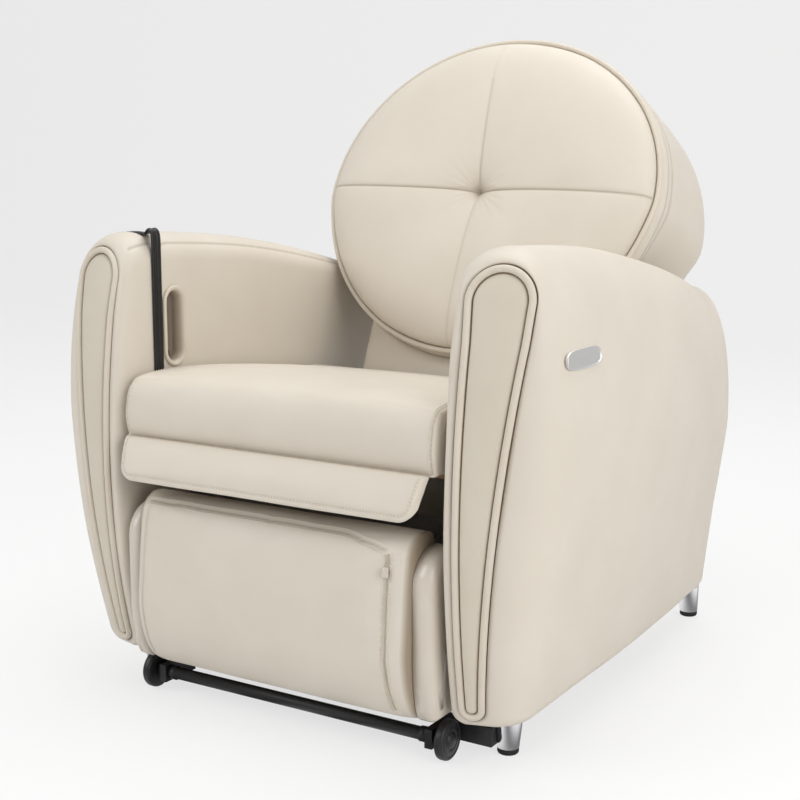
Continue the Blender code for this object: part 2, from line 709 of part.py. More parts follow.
def badge_frame():
    """Place on the right arm's outer face, with X pointing out of it."""
    low = arm_surface_x(BADGE_Z - BADGE_HEIGHT / 2, BADGE_Y)
    high = arm_surface_x(BADGE_Z + BADGE_HEIGHT / 2, BADGE_Y)
    lean = math.atan2(high - low, BADGE_HEIGHT)
    place = Matrix.Translation((arm_surface_x(BADGE_Z, BADGE_Y), BADGE_Y, BADGE_Z))
    return place @ Matrix.Rotation(lean, 4, "Y")


def badge_mesh(gap, low, high):
    half = BADGE_LENGTH / 2 - BADGE_HEIGHT / 2
    mesh = prism(link_outline((-half, 0), (half, 0), BADGE_HEIGHT / 2 + gap), low, high, "X")
    bmesh.ops.transform(mesh, matrix=badge_frame(), verts=mesh.verts)
    return mesh


def pocket_outline(grow):
    half = POCKET_LENGTH / 2 - POCKET_WIDTH / 2
    return link_outline((POCKET_Y, POCKET_Z - half), (POCKET_Y, POCKET_Z + half), POCKET_WIDTH / 2 + grow)


def make_arm(parent, name, side):
    cover = loft(arm_rings(side), ladder_cap)
    cover = cut(cover, core_mesh(side, REST_GAP, ARM_FLOOR_Z - ARM_WALL))
    if side > 0:
        cover = cut(cover, badge_mesh(REST_GAP, -BADGE_SUNK - REST_GAP, BADGE_THICKNESS))
    else:
        face = -ARM_INNER_X
        cup = prism(pocket_outline(REST_GAP), face - POCKET_DEPTH - REST_GAP, face + POCKET_DEPTH, "X")
        cover = cut(cover, cup)
    piece(f"{name}_arm_cover", cover, LEATHER, parent)
    piece(f"{name}_arm_core", core_mesh(side, 0.0, ARM_FLOOR_Z), WOOD, parent)
    seat = PANEL_DEPTH - PANEL_GAP
    rings = []
    for inset, behind in ((PANEL_INSET, seat), (PANEL_INSET, PANEL_EDGE), (PANEL_INSET + PANEL_ROUND, 0.0)):
        rings.append([front_point(side, z, across, behind) for z, across in front_loop(inset)])
    piece(f"{name}_arm_front_panel", loft(rings, loop_cap), LEATHER, parent)
    behind = seat - WELT_RADIUS
    path = [front_point(side, z, across, behind) for z, across in front_loop(WELT_INSET)]
    piece(f"{name}_arm_welt", tube(path, WELT_RADIUS, WELT_SIDES), LEATHER, parent)


def make_badge(parent):
    plate = badge_mesh(0.0, -BADGE_SUNK, BADGE_THICKNESS - BADGE_SUNK)
    piece("badge_plate", softened(plate, BADGE_EDGE), SILVER, parent)


def make_pocket(parent):
    face = -ARM_INNER_X
    floor = face - POCKET_DEPTH
    lip = prism(pocket_outline(POCKET_LIP), face + REST_GAP, face + POCKET_LIP_HEIGHT, "X")
    body = prism(pocket_outline(0.0), floor, face + POCKET_LIP_HEIGHT / 2, "X")
    cup = weld(body, softened(lip, POCKET_LIP_HEIGHT / 3))
    hollow = prism(pocket_outline(-POCKET_WALL), floor + POCKET_WALL, face + POCKET_DEPTH, "X")
    piece("pocket_cup", cut(cup, hollow), POCKET_PLASTIC, parent)


def make_paddle(parent):
    """Release paddle, lying on the pocket floor and hinged on a pin near its rear edge."""
    half = PADDLE_THICKNESS / 2
    floor = -ARM_INNER_X - POCKET_DEPTH + POCKET_WALL
    offset = PADDLE_WIDTH / 2 - PADDLE_HEEL
    axis = empty("paddle_axis", (floor + REST_GAP + half, POCKET_Y + offset, POCKET_Z), parent)
    rise = PADDLE_LENGTH / 2
    plate = softened(box((-half, PADDLE_HEEL - PADDLE_WIDTH, -rise), (half, PADDLE_HEEL, rise)), half / 2)
    round_end = (POCKET_WIDTH / 2 - POCKET_WALL) * math.cos(math.pi / 2 / END_STEPS)
    beyond = math.sqrt(round_end ** 2 - (offset + PADDLE_PIN_RADIUS) ** 2)
    reach = (POCKET_LENGTH - POCKET_WIDTH) / 2 + beyond
    pin = rod(PADDLE_PIN_RADIUS, REST_GAP - reach, reach - REST_GAP, (0, 0), "Z", PADDLE_PIN_SIDES)
    piece("release_paddle", weld(plate, pin), POCKET_PLASTIC, axis)


def strap_outline(height):
    """Section of the left arm with the strap's face at a height above it, from the crease to the tuck."""
    ring = arm_outline(STRAP_Y, ARM_LEVELS, hem=ARM_HEM)
    points = [Vector(point) for point in ring]
    lifted = []
    for index, point in enumerate(points):
        before = points[index - 1]
        after = points[(index + 1) % len(points)]
        away = [Vector((-(b - a).y, (b - a).x)).normalized() for a, b in ((before, point), (point, after))]
        middle = (away[0] + away[1]).normalized()
        lifted.append(point + middle * height / max(middle.dot(away[0]), STRAP_MITRE))
    inner = [point for point in lifted[: len(ring) // 2] if point.y > STRAP_LOW_Z]
    start = Vector((ARM_INNER_X - height, STRAP_LOW_Z))
    end = lifted[-1] - Vector((STRAP_TUCK, 0))
    end.y = lifted[-1].y
    return [start] + inner + lifted[len(ring) // 2 :] + [end]


def make_strap(parent):
    lower = strap_outline(2 * REST_GAP)
    upper = strap_outline(2 * REST_GAP + STRAP_THICKNESS)
    rings = []
    for low, high in zip(lower, upper):
        rings.append([
            Vector((-point.x, STRAP_Y + across * STRAP_WIDTH / 2, point.y))
            for point, across in ((low, -1), (high, -1), (high, 1), (low, 1))
        ])
    piece("arm_strap", loft(rings), BLACK, parent)


# Seat

def make_seat(parent):
    outline = (
        (SEAT_FRONT_Y, SEAT_BOTTOM_Z),
        (SEAT_REAR_Y, SEAT_BOTTOM_Z),
        (SEAT_REAR_Y, SEAT_REAR_TOP_Z),
        (SEAT_FRONT_Y + SEAT_LEVEL, SEAT_FRONT_TOP_Z),
        (SEAT_FRONT_Y, SEAT_FRONT_TOP_Z),
    )
    block = prism(outline, -SEAT_HALF_WIDTH, SEAT_HALF_WIDTH)
    cushion = softened(block, SEAT_EDGE, SEAT_EDGE_STEPS, keep=SEAT_BOTTOM_Z)
    piece("seat_cushion", cushion, LEATHER, parent)
    pan = box((-FRAME_OUTER_X, SEAT_FRONT_Y + PAN_OVERHANG, PAN_BOTTOM_Z),
              (FRAME_OUTER_X, SEAT_REAR_Y, PAN_BOTTOM_Z + PAN_THICKNESS))
    piece("seat_pan", pan, WOOD, parent)


def make_flap(parent):
    """Flap sewn under the seat front, hanging a little forwards from its top edge."""
    axis = empty("flap_axis", (0, FLAP_HINGE_Y, FLAP_HINGE_Z), parent, -FLAP_TILT)
    low = -FLAP_LENGTH
    corner = (FLAP_BOTTOM_HALF - FLAP_CORNER, low + FLAP_CORNER)
    right = [(FLAP_TOP_HALF, 0)] + arc(corner, FLAP_CORNER, 0, -90, END_STEPS)
    outline = right + [(-x, z) for x, z in right[::-1]]
    sheet = prism(outline, -FLAP_THICKNESS, 0, "Y")
    piece("seat_flap", softened(sheet, FLAP_EDGE, keep=0.0), LEATHER, axis)


# Base

def ear(x, middle, foot, radius, hole):
    """Plate with a round end and a hole for a pivot, standing on a tube."""
    half = EAR_THICKNESS / 2
    plate = prism(link_outline(middle, foot, radius, TUBE * EAR_FOOT_SHARE), x - half, x + half)
    return cut(plate, rod(hole, x - 2 * half, x + 2 * half, middle))


def make_base_frame(parent):
    side_low = FRAME_OUTER_X - TUBE
    front, rear = FRAME_FRONT_Y, FRAME_REAR_Y
    solids = []
    for side in (-1, 1):
        left, right = sorted((side * side_low, side * FRAME_OUTER_X))
        frame = box((left, front, FRAME_LOW_Z), (right, rear, FRAME_TOP_Z))
        low_corner = (left - TUBE, front + TUBE, FRAME_LOW_Z + TUBE)
        high_corner = (right + TUBE, rear - TUBE, FRAME_TOP_Z - TUBE)
        solids.append(cut(frame, box(low_corner, high_corner)))
    inside = side_low + TUBE / 2
    slim = TUBE - 2 * CROSS_INSET
    cross_tubes = (
        (front, FRAME_LOW_Z + CROSS_INSET),
        (front, FRAME_MID_Z),
        (front, FRAME_TOP_Z - TUBE),
        (rear - TUBE, FRAME_LOW_Z + CROSS_INSET),
        (rear - TUBE, FRAME_REAR_Z),
    )
    for y, z in cross_tubes:
        near = y + CROSS_INSET
        solids.append(box((-inside, near, z), (inside, near + slim, z + slim)))
    tray_rear = rear - TUBE / 2
    tray_top = TRAY_Z + TRAY_THICKNESS
    solids.append(box((-inside, tray_rear - TRAY_DEPTH, TRAY_Z), (inside, tray_rear, tray_top)))
    leg_foot = (front + TUBE / 2, FRAME_MID_Z + slim / 2)
    back_foot = (rear - TUBE / 2, FRAME_REAR_Z + slim / 2)
    for side in (-1, 1):
        pivot = (LEG_AXIS_Y, LEG_AXIS_Z)
        solids.append(ear(side * LEG_EAR_X, pivot, leg_foot, EAR_RADIUS, LEG_ROD_RADIUS + RUN_GAP))
        pivot = (RECLINE_Y, RECLINE_Z)
        solids.append(ear(side * RECLINE_EAR_X, pivot, back_foot, EAR_RADIUS, PIVOT_RADIUS + REST_GAP))
    piece("base_frame", weld(*solids), STEEL, parent)


def foot_mesh(side, y, splay, grow=0.0):
    """Tapered foot under an arm, leaning back by an angle."""
    top = ARM_FLOOR_Z - REST_GAP
    rings = []
    for z, radius in ((top, FOOT_TOP_RADIUS), (GLIDE_HEIGHT + REST_GAP, FOOT_BOTTOM_RADIUS)):
        middle = (side * FOOT_X, y + math.tan(splay) * (top - z))
        rings.append([Vector((a, b, z)) for a, b in circle(radius + grow, middle, TURNED_SEGMENTS)])
    return loft(rings)


def make_feet(parent):
    glide_profile = (
        (GLIDE_HEIGHT, GLIDE_RADIUS),
        (GLIDE_HEIGHT / 3, GLIDE_RADIUS),
        (0.0, GLIDE_BASE_RADIUS),
    )
    for name, side in (("left", -1), ("right", 1)):
        for place, y, splay in (("front", FOOT_FRONT_Y, 0.0), ("rear", FOOT_REAR_Y, FOOT_SPLAY)):
            piece(f"{place}_{name}_foot", foot_mesh(side, y, splay), CHROME, parent)
            shift = math.tan(splay) * (ARM_FLOOR_Z - REST_GAP - GLIDE_HEIGHT)
            glide = turned(glide_profile, (side * FOOT_X, y + shift), "Z", TURNED_SEGMENTS)
            piece(f"{place}_{name}_glide", glide, RUBBER, parent)


def make_wheels(parent):
    inner = WHEEL_X - WHEEL_WIDTH / 2
    outer = WHEEL_X + WHEEL_WIDTH / 2
    middle = (0.0, WHEEL_Z)
    axle = weld(
        rod(AXLE_RADIUS, -inner + RUN_GAP, inner - RUN_GAP, middle),
        rod(AXLE_STUB_RADIUS, -outer, outer, middle),
    )
    piece("axle_bar", axle, BLACK, parent)
    half = WHEEL_WIDTH / 2
    rim = WHEEL_RADIUS - WHEEL_RIM
    wheel_profile = (
        (-half, rim),
        (-half + WHEEL_RIM, WHEEL_RADIUS),
        (half - WHEEL_RIM, WHEEL_RADIUS),
        (half, rim),
    )
    for name, side in (("left", -1), ("right", 1)):
        wheel = turned(wheel_profile, (0.0, 0.0), "X", TURNED_SEGMENTS)
        wheel = cut(wheel, rod(AXLE_STUB_RADIUS + RUN_GAP, -WHEEL_WIDTH, WHEEL_WIDTH, (0.0, 0.0)))
        axis = empty(f"{name}_wheel_axis", (side * WHEEL_X, 0.0, WHEEL_Z), parent)
        piece(f"{name}_wheel", wheel, BLACK, axis)
        make_bracket(parent, name, side)


def make_bracket(parent, name, side):
    """Bracket that carries the axle bar, reaching out to the front foot and notched round it."""
    near = BRACKET_X - BRACKET_THICKNESS / 2
    far = BRACKET_X + BRACKET_THICKNESS / 2
    end = FOOT_X - FOOT_TOP_RADIUS + BRACKET_WRAP
    back = BRACKET_ARM_Y + BRACKET_ARM_DEPTH
    outline = (
        (near, -BRACKET_NOSE),
        (far, -BRACKET_NOSE),
        (far, BRACKET_ARM_Y),
        (end, BRACKET_ARM_Y),
        (end, back),
        (near, back),
    )
    low = WHEEL_Z - BRACKET_HEIGHT / 2
    bar = prism([(side * x, y) for x, y in outline], low, low + BRACKET_HEIGHT, "Z")
    hole = rod(AXLE_RADIUS + REST_GAP, side * (near - TUBE), side * (far + CROSS_INSET), (0.0, WHEEL_Z))
    foot = foot_mesh(side, FOOT_FRONT_Y, 0.0, REST_GAP)
    piece(f"{name}_wheel_bracket", cut(bar, hole, foot), BLACK, parent)


def inlet_box(grow, start, stop):
    middle = TRAY_Z + TRAY_THICKNESS + BOX_HEIGHT / 2
    half = INLET_WIDTH / 2 + grow
    height = INLET_HEIGHT / 2 + grow
    return box((-half, start, middle - height), (half, stop, middle + height))


def make_rear_cover(parent):
    """Bowed cover over the frame's rear, with a cut-out for the power inlet."""
    start = FRAME_REAR_Y + REST_GAP
    outline = []
    for step in range(REAR_COVER_STEPS + 1):
        across = 2 * step / REAR_COVER_STEPS - 1
        bow = REAR_COVER_BOW * (1 - across ** 2)
        outline.append((across * FRAME_OUTER_X, start + REAR_COVER_THICKNESS + bow))
    outline += [(FRAME_OUTER_X, start), (-FRAME_OUTER_X, start)]
    cover = prism(outline, REAR_COVER_LOW_Z, REAR_COVER_TOP_Z, "Z")
    opening = inlet_box(REST_GAP, start - TUBE, start + REAR_COVER_THICKNESS + REAR_COVER_BOW + TUBE)
    piece("rear_cover", cut(cover, opening), LEATHER, parent)


def make_controls(parent):
    floor = TRAY_Z + TRAY_THICKNESS + REST_GAP
    stop = FRAME_REAR_Y + REAR_COVER_THICKNESS + REAR_COVER_BOW
    rear = stop - INLET_DEPTH - REST_GAP
    case = box((-BOX_HALF_WIDTH, rear - BOX_DEPTH, floor), (BOX_HALF_WIDTH, rear, floor + BOX_HEIGHT))
    piece("control_box", softened(case, CASE_EDGE), GREY_PLASTIC, parent)
    hollow = inlet_box(-INLET_WALL, stop - INLET_DEPTH + INLET_WALL, stop + TUBE)
    piece("power_inlet", cut(inlet_box(0.0, stop - INLET_DEPTH, stop), hollow), BLACK, parent)


# Leg rest

def leg_outline(fall):
    """Side outline of the leg rest pad, with its front drawn back by a distance."""
    top_y, top_z = LEG_FRONT_TOP
    bottom_y, bottom_z = LEG_FRONT_BOTTOM
    roll = LEG_TOP_Z - top_z
    toe = bottom_z - LEG_BOTTOM_Z
    front_top = arc((top_y + roll, top_z), roll, 180, 90, LEG_ARC_STEPS)
    front_bottom = [
        (bottom_y + toe / 2 * (1 - across), bottom_z + toe * rise)
        for across, rise in arc((0, 0), 1.0, -90, 0, LEG_ARC_STEPS)
    ]
    front = [(y + fall, z) for y, z in front_bottom + front_top]
    return [(LEG_BACK_Y, LEG_TOP_Z), (LEG_BACK_Y, LEG_BOTTOM_Z)] + front


def leg_fall(x):
    share = smooth_share((abs(x) - LEG_HALF_WIDTH + LEG_SHOULDER) / LEG_SHOULDER)
    return LEG_SIDE_FALL * (1 - math.sqrt(1 - share ** 2))


def make_leg_rest(parent):
    axis = empty("leg_rest_axis", (0, LEG_AXIS_Y, LEG_AXIS_Z), parent)
    frame = empty("leg_rest_frame_place", (0, -LEG_AXIS_Y, -LEG_AXIS_Z), axis)
    flat = LEG_HALF_WIDTH - LEG_SHOULDER
    steps = [flat + LEG_SHOULDER * share for share in LEG_SHOULDER_SHARES]
    stations = [-x for x in steps[::-1]] + steps
    rings = [[Vector((x, y, z)) for y, z in leg_outline(leg_fall(x))] for x in stations]
    piece("leg_rest_pad", loft(rings), LEATHER, frame)

    back = LEG_BACK_Y + REST_GAP
    half = LEG_LUG_X + 2 * EAR_RADIUS
    plate = box((-half, back, LEG_BOTTOM_Z + TUBE), (half, back + LEG_PLATE, LEG_TOP_Z - LEG_PLATE))
    solids = [plate]
    pivot = (LEG_AXIS_Y, LEG_AXIS_Z)
    for side in (-1, 1):
        x = side * LEG_LUG_X
        outline = link_outline(pivot, (back + LEG_PLATE / 2, LEG_AXIS_Z), EAR_RADIUS)
        lug = prism(outline, x - EAR_THICKNESS / 2, x + EAR_THICKNESS / 2)
        ahead = box((x - TUBE, -TUBE, 0), (x + TUBE, back + LEG_PLATE / 4, 2 * LEG_AXIS_Z))
        solids.append(cut(lug, ahead, rod(LEG_ROD_RADIUS + REST_GAP, x - TUBE, x + TUBE, pivot)))
    piece("leg_rest_frame", weld(*solids), STEEL, frame)
    reach = LEG_EAR_X + EAR_THICKNESS
    piece("leg_rest_pivot_rod", rod(LEG_ROD_RADIUS, -reach, reach, pivot), BRIGHT_STEEL, frame)

    start = LEG_HALF_WIDTH + REST_GAP
    stop = start + SIDE_PANEL_THICKNESS
    radius = (SIDE_PANEL_BACK_Y - SIDE_PANEL_FRONT_Y) / 2
    middle = (SIDE_PANEL_FRONT_Y + radius, SIDE_PANEL_TOP_Z - radius)
    outline = arc(middle, radius, 0, 180, SIDE_PANEL_ARC_STEPS)
    outline += [
        (SIDE_PANEL_FRONT_Y, LEG_FRONT_BOTTOM[1]),
        (SIDE_PANEL_FRONT_Y + radius / 3, SIDE_PANEL_BOTTOM_Z),
        (SIDE_PANEL_BACK_Y - radius / 3, SIDE_PANEL_BOTTOM_Z),
    ]
    for name, side in (("left", -1), ("right", 1)):
        panel = prism(outline, *sorted((side * start, side * stop)))
        panel = softened(panel, SIDE_PANEL_EDGE, sharp=SIDE_PANEL_SHARP)
        piece(f"{name}_leg_rest_panel", panel, GLOSS_WHITE, frame)
    return frame


def zip_slope():
    """Lean of the pad's flat front, which the zip follows."""
    return math.atan2(LEG_FRONT_TOP[0] - LEG_FRONT_BOTTOM[0], LEG_FRONT_TOP[1] - LEG_FRONT_BOTTOM[1])


def make_zip_pull(frame):
    slope = zip_slope()
    top_y, top_z = LEG_FRONT_TOP
    front = top_y - math.tan(slope) * (top_z - ZIP_TOP_Z)
    y = front + leg_fall(ZIP_X - ZIP_PULL_WIDTH / 2) - REST_GAP
    place = empty("zip_place", (ZIP_X, y, ZIP_TOP_Z), frame, -slope)
    half = ZIP_PULL_WIDTH / 2
    tab = box((-half, -ZIP_PULL_THICKNESS, -ZIP_PULL_LENGTH), (half, 0, 0))
    piece("zip_pull", softened(tab, ZIP_PULL_THICKNESS / 4), GLOSS_WHITE, place)


def make_gear_motor(parent):
    """Geared motor that turns the leg rest's pivot rod."""
    low, high = GEAR_X, GEAR_X + GEAR_WIDTH
    middle = (LEG_AXIS_Y, LEG_AXIS_Z)
    gearbox = rod(GEAR_RADIUS, low, high, middle)
    can_x = (low + high) / 2
    can_z = FRAME_MID_Z - REST_GAP - MOTOR_RADIUS
    can = rod(MOTOR_RADIUS, LEG_AXIS_Y, LEG_AXIS_Y + GEAR_RADIUS + MOTOR_LENGTH, (can_x, can_z), "Y")
    bore = rod(LEG_ROD_RADIUS + RUN_GAP, low - TUBE, high + TUBE, middle)
    low_corner = (low - TUBE, FRAME_FRONT_Y - REST_GAP, FRAME_MID_Z - REST_GAP)
    clear = box(low_corner, (high + TUBE, 2 * FRAME_FRONT_Y, FRAME_TOP_Z))
    piece("leg_rest_gear_motor", cut(weld(gearbox, can), bore, clear), GREY_PLASTIC, parent)


# Backrest

def oval(scale, grow, depth, narrow=DISC_NARROW):
    ring = []
    for index in range(DISC_SEGMENTS):
        turn = 2 * math.pi * index / DISC_SEGMENTS
        x = (DISC_HALF_WIDTH * scale + grow) * math.cos(turn)
        z = (DISC_HALF_HEIGHT * scale + grow) * math.sin(turn)
        slim = 1 - narrow * max(0.0, -math.sin(turn)) ** DISC_NARROW_POWER
        ring.append(Vector((x * slim, depth, z)))
    return ring


def shell_profile(grow):
    """Growth and depth of the drum's outer face from its rim to its back, moved out by a gap."""
    rim = DISC_THICKNESS + REST_GAP
    run = SHELL_DEPTH - rim
    rows = [(DISC_GUSSET + grow, rim, DISC_NARROW)]
    for growth, deep, narrow, back in SHELL_ROWS:
        depth = rim + deep * run + back * grow
        rows.append((growth * SHELL_BULGE + grow, depth, narrow * SHELL_NARROW_SHARE))
    return rows


def shell_rings(grow):
    return [oval(1.0, *row) for row in shell_profile(grow)]


def back_point(y, z):
    """Depth and height in the leaning plane of a point of the chair."""
    run, rise = y - BACK_Y, z - BACK_Z
    sine, cosine = math.sin(BACK_TILT), math.cos(BACK_TILT)
    return (run * cosine - rise * sine, run * sine + rise * cosine)


def shell_reach():
    """Rearmost y of the drum when the backrest is upright."""
    sine, cosine = math.sin(BACK_TILT), math.cos(BACK_TILT)
    rows = shell_profile(0.0)
    return max(BACK_Y + (DISC_HALF_HEIGHT + grow) * sine + depth * cosine for grow, depth, _ in rows)


def make_back_covers(plane):
    edge = BACK_WELT_RADIUS + REST_GAP
    rings = [oval(scale, 0.0, -crown * DISC_CROWN) for scale, crown in DISC_CROWN_ROWS]
    rings += [oval(1.0, -edge - REST_GAP, depth) for depth in (-edge, edge)]
    rings += [oval(1.0, DISC_GUSSET / 2, edge), oval(1.0, DISC_GUSSET, DISC_THICKNESS)]
    piece("back_cushion", loft(rings), LEATHER, plane)
    piece("back_welt", tube(oval(1.0, 0.0, 0.0), BACK_WELT_RADIUS, WELT_SIDES), LEATHER, plane)

    shell = loft(shell_rings(-SHELL_WALL)[::-1] + shell_rings(0.0))
    slots = []
    half = TUBE / 2 + REST_GAP
    near, far = UPRIGHT_DEPTH - half, UPRIGHT_DEPTH + half
    for side in (-1, 1):
        x = side * UPRIGHT_X
        slots.append(box((x - half, near, UPRIGHT_BOTTOM - TUBE), (x + half, far, CROSS_BOTTOM / 2)))
    piece("back_shell", cut(shell, *slots), LEATHER, plane)

    front = DISC_THICKNESS + 2 * REST_GAP
    half = LUMBAR_HALF_WIDTH
    pad = box((-half, front, LUMBAR_BOTTOM), (half, front + LUMBAR_THICKNESS, LUMBAR_TOP))
    drum = loft([oval(1.0, DISC_GUSSET + REST_GAP, 0.0)] + shell_rings(2 * REST_GAP))
    piece("lumbar_pad", cut(pad, drum), LEATHER, plane)


def make_backrest_frame(plane):
    half = TUBE / 2
    hinge = back_point(RECLINE_Y, RECLINE_Z)
    lever_end = back_point(
        RECLINE_Y + LEVER_LENGTH * math.sin(RECLINE_RANGE / 2),
        RECLINE_Z - LEVER_LENGTH * math.cos(RECLINE_RANGE / 2),
    )
    depth = UPRIGHT_DEPTH
    solids = []
    for side in (-1, 1):
        x = side * UPRIGHT_X
        solids.append(box((x - half, depth - half, UPRIGHT_BOTTOM), (x + half, depth + half, UPRIGHT_TOP)))
        outline = link_outline(hinge, (depth, UPRIGHT_BOTTOM + half), EAR_RADIUS, TUBE / 3)
        solids.append(prism(outline, x - HINGE_PLATE / 2, x + HINGE_PLATE / 2))
    slim = half - CROSS_INSET / 2
    near, far = depth - slim, depth + slim
    for height in (CROSS_TOP, CROSS_BOTTOM):
        solids.append(box((-UPRIGHT_X, near, height - half), (UPRIGHT_X, far, height + half)))
    reach = UPRIGHT_X + HINGE_PLATE / 4
    solids.append(rod(SLEEVE_RADIUS, -reach, reach, hinge))
    lever = prism(link_outline(hinge, lever_end, EAR_RADIUS), -LEVER_THICKNESS / 2, LEVER_THICKNESS / 2)
    solids.append(lever)
    frame = weld(*solids)
    bore = rod(PIVOT_RADIUS + RUN_GAP, -UPRIGHT_X - TUBE, UPRIGHT_X + TUBE, hinge)
    pin_hole = rod(LEVER_PIN_RADIUS + LEVER_PIN_PLAY, -TUBE, TUBE, lever_end)
    piece("backrest_frame", cut(frame, bore, pin_hole), STEEL, plane)


def make_recline_rod(parent):
    reach = RECLINE_EAR_X + EAR_THICKNESS
    pivot = rod(PIVOT_RADIUS, -reach, reach, (RECLINE_Y, RECLINE_Z))
    piece("recline_pivot_rod", pivot, BRIGHT_STEEL, parent)


def make_gas_spring(parent):
    dip = 1 - math.cos(RECLINE_RANGE / 2)
    z = RECLINE_Z - LEVER_LENGTH * (1 - dip / 2)
    start = FRAME_FRONT_Y + TUBE - CROSS_INSET + REST_GAP
    stroke = 2 * LEVER_LENGTH * math.sin(RECLINE_RANGE / 2)
    stop = start + GAS_LENGTH
    body = rod(GAS_RADIUS, start, stop, (0, z), "Y")
    tail = stop - stroke / 4
    bore = rod(GAS_ROD_RADIUS + REST_GAP, tail - stroke - GAS_BORE_MARGIN, stop + TUBE, (0, z), "Y")
    piece("gas_spring_body", cut(body, bore), BLACK, parent)
    pin_y = RECLINE_Y + LEVER_LENGTH * math.sin(RECLINE_RANGE / 2)
    slot = LEVER_THICKNESS / 2 + RUN_GAP
    cheek = slot + FORK_THICKNESS
    root = pin_y - EAR_RADIUS - LEVER_PIN_PLAY - FORK_THICKNESS
    fork = box((-cheek, root - FORK_THICKNESS, z - LEVER_PIN_RADIUS - FORK_THICKNESS),
               (cheek, pin_y + 2 * LEVER_PIN_RADIUS, z + LEVER_PIN_RADIUS + FORK_THICKNESS))
    gap = box((-slot, root, z - TUBE), (slot, pin_y + TUBE, z + TUBE))
    pin_reach = cheek - FORK_THICKNESS / 4
    pin = rod(LEVER_PIN_RADIUS, -pin_reach, pin_reach, (pin_y, z))
    plunger = rod(GAS_ROD_RADIUS, tail, root - FORK_THICKNESS / 2, (0, z), "Y")
    piece("gas_spring_rod", weld(cut(fork, gap), pin, plunger), BRIGHT_STEEL, parent)


# Massage mechanism

def make_mechanism(plane):
    half = TUBE / 2
    low = CROSS_BOTTOM + half + REST_GAP
    high = CROSS_TOP - half - REST_GAP
    for name, side in (("left", -1), ("right", 1)):
        rail = rod(RAIL_RADIUS, low, high, (side * RAIL_X, RAIL_DEPTH), "Z")
        piece(f"{name}_guide_rail", rail, BRIGHT_STEEL, plane)
    wide, deep = SCREW_MOTOR_SIZE / 2, SCREW_MOTOR_SIZE / 4
    top = low + SCREW_MOTOR_HEIGHT
    motor = box((-wide, RAIL_DEPTH - deep, low), (wide, RAIL_DEPTH + deep, top))
    piece("screw_motor", softened(motor, CASE_EDGE), GREY_PLASTIC, plane)
    screw_axis = empty("lead_screw_axis", (0, RAIL_DEPTH, 0), plane)
    piece("lead_screw", rod(SCREW_RADIUS, top + REST_GAP, high, (0, 0), "Z"), BRIGHT_STEEL, screw_axis)
    make_carriage(empty("carriage_place", (0, 0, CARRIAGE_MIDDLE), plane))


def make_carriage(place):
    rise = CARRIAGE_HEIGHT / 2
    front = RAIL_DEPTH - CARRIAGE_DEPTH / 2
    rear = RAIL_DEPTH + CARRIAGE_DEPTH / 2
    block = box((-CARRIAGE_HALF_WIDTH, front, -rise), (CARRIAGE_HALF_WIDTH, rear, rise))
    block = softened(block, CASE_EDGE)
    tools = []
    for x, radius in ((-RAIL_X, RAIL_RADIUS), (RAIL_X, RAIL_RADIUS), (0.0, SCREW_RADIUS)):
        tools.append(rod(radius + RUN_GAP, -2 * rise, 2 * rise, (x, RAIL_DEPTH), "Z"))
    tall = CARRIAGE_WINDOW_HEIGHT / 2
    for side in (-1, 1):
        middle = side * (SCREW_RADIUS + RAIL_X - RAIL_RADIUS) / 2
        wide = CARRIAGE_WINDOW_WIDTH / 2
        tools.append(box((middle - wide, front - TUBE, -tall), (middle + wide, rear + TUBE, tall)))
    solids = [cut(block, *tools)]
    for side in (-1, 1):
        x = side * SHAFT_EAR_X
        thick = SHAFT_EAR_THICKNESS / 2
        outline = link_outline((SHAFT_DEPTH, 0), (front + thick, 0), 2 * SHAFT_RADIUS)
        hole = rod(SHAFT_RADIUS + REST_GAP, x - TUBE, x + TUBE, (SHAFT_DEPTH, 0))
        solids.append(cut(prism(outline, x - thick, x + thick), hole))
    piece("massage_carriage", weld(*solids), GREY_PLASTIC, place)
    reach = SHAFT_EAR_X + SHAFT_EAR_THICKNESS
    piece("rocker_shaft", rod(SHAFT_RADIUS, -reach, reach, (SHAFT_DEPTH, 0)), BRIGHT_STEEL, place)
    middle = (rear + REST_GAP + ROCK_MOTOR_RADIUS, rise - ROCK_MOTOR_RADIUS)
    motor = rod(ROCK_MOTOR_RADIUS, -ROCK_MOTOR_LENGTH, ROCK_MOTOR_LENGTH, middle)
    piece("rocking_motor", motor, GREY_PLASTIC, place)
    for name, side in (("left", -1), ("right", 1)):
        make_rocker(place, name, side)


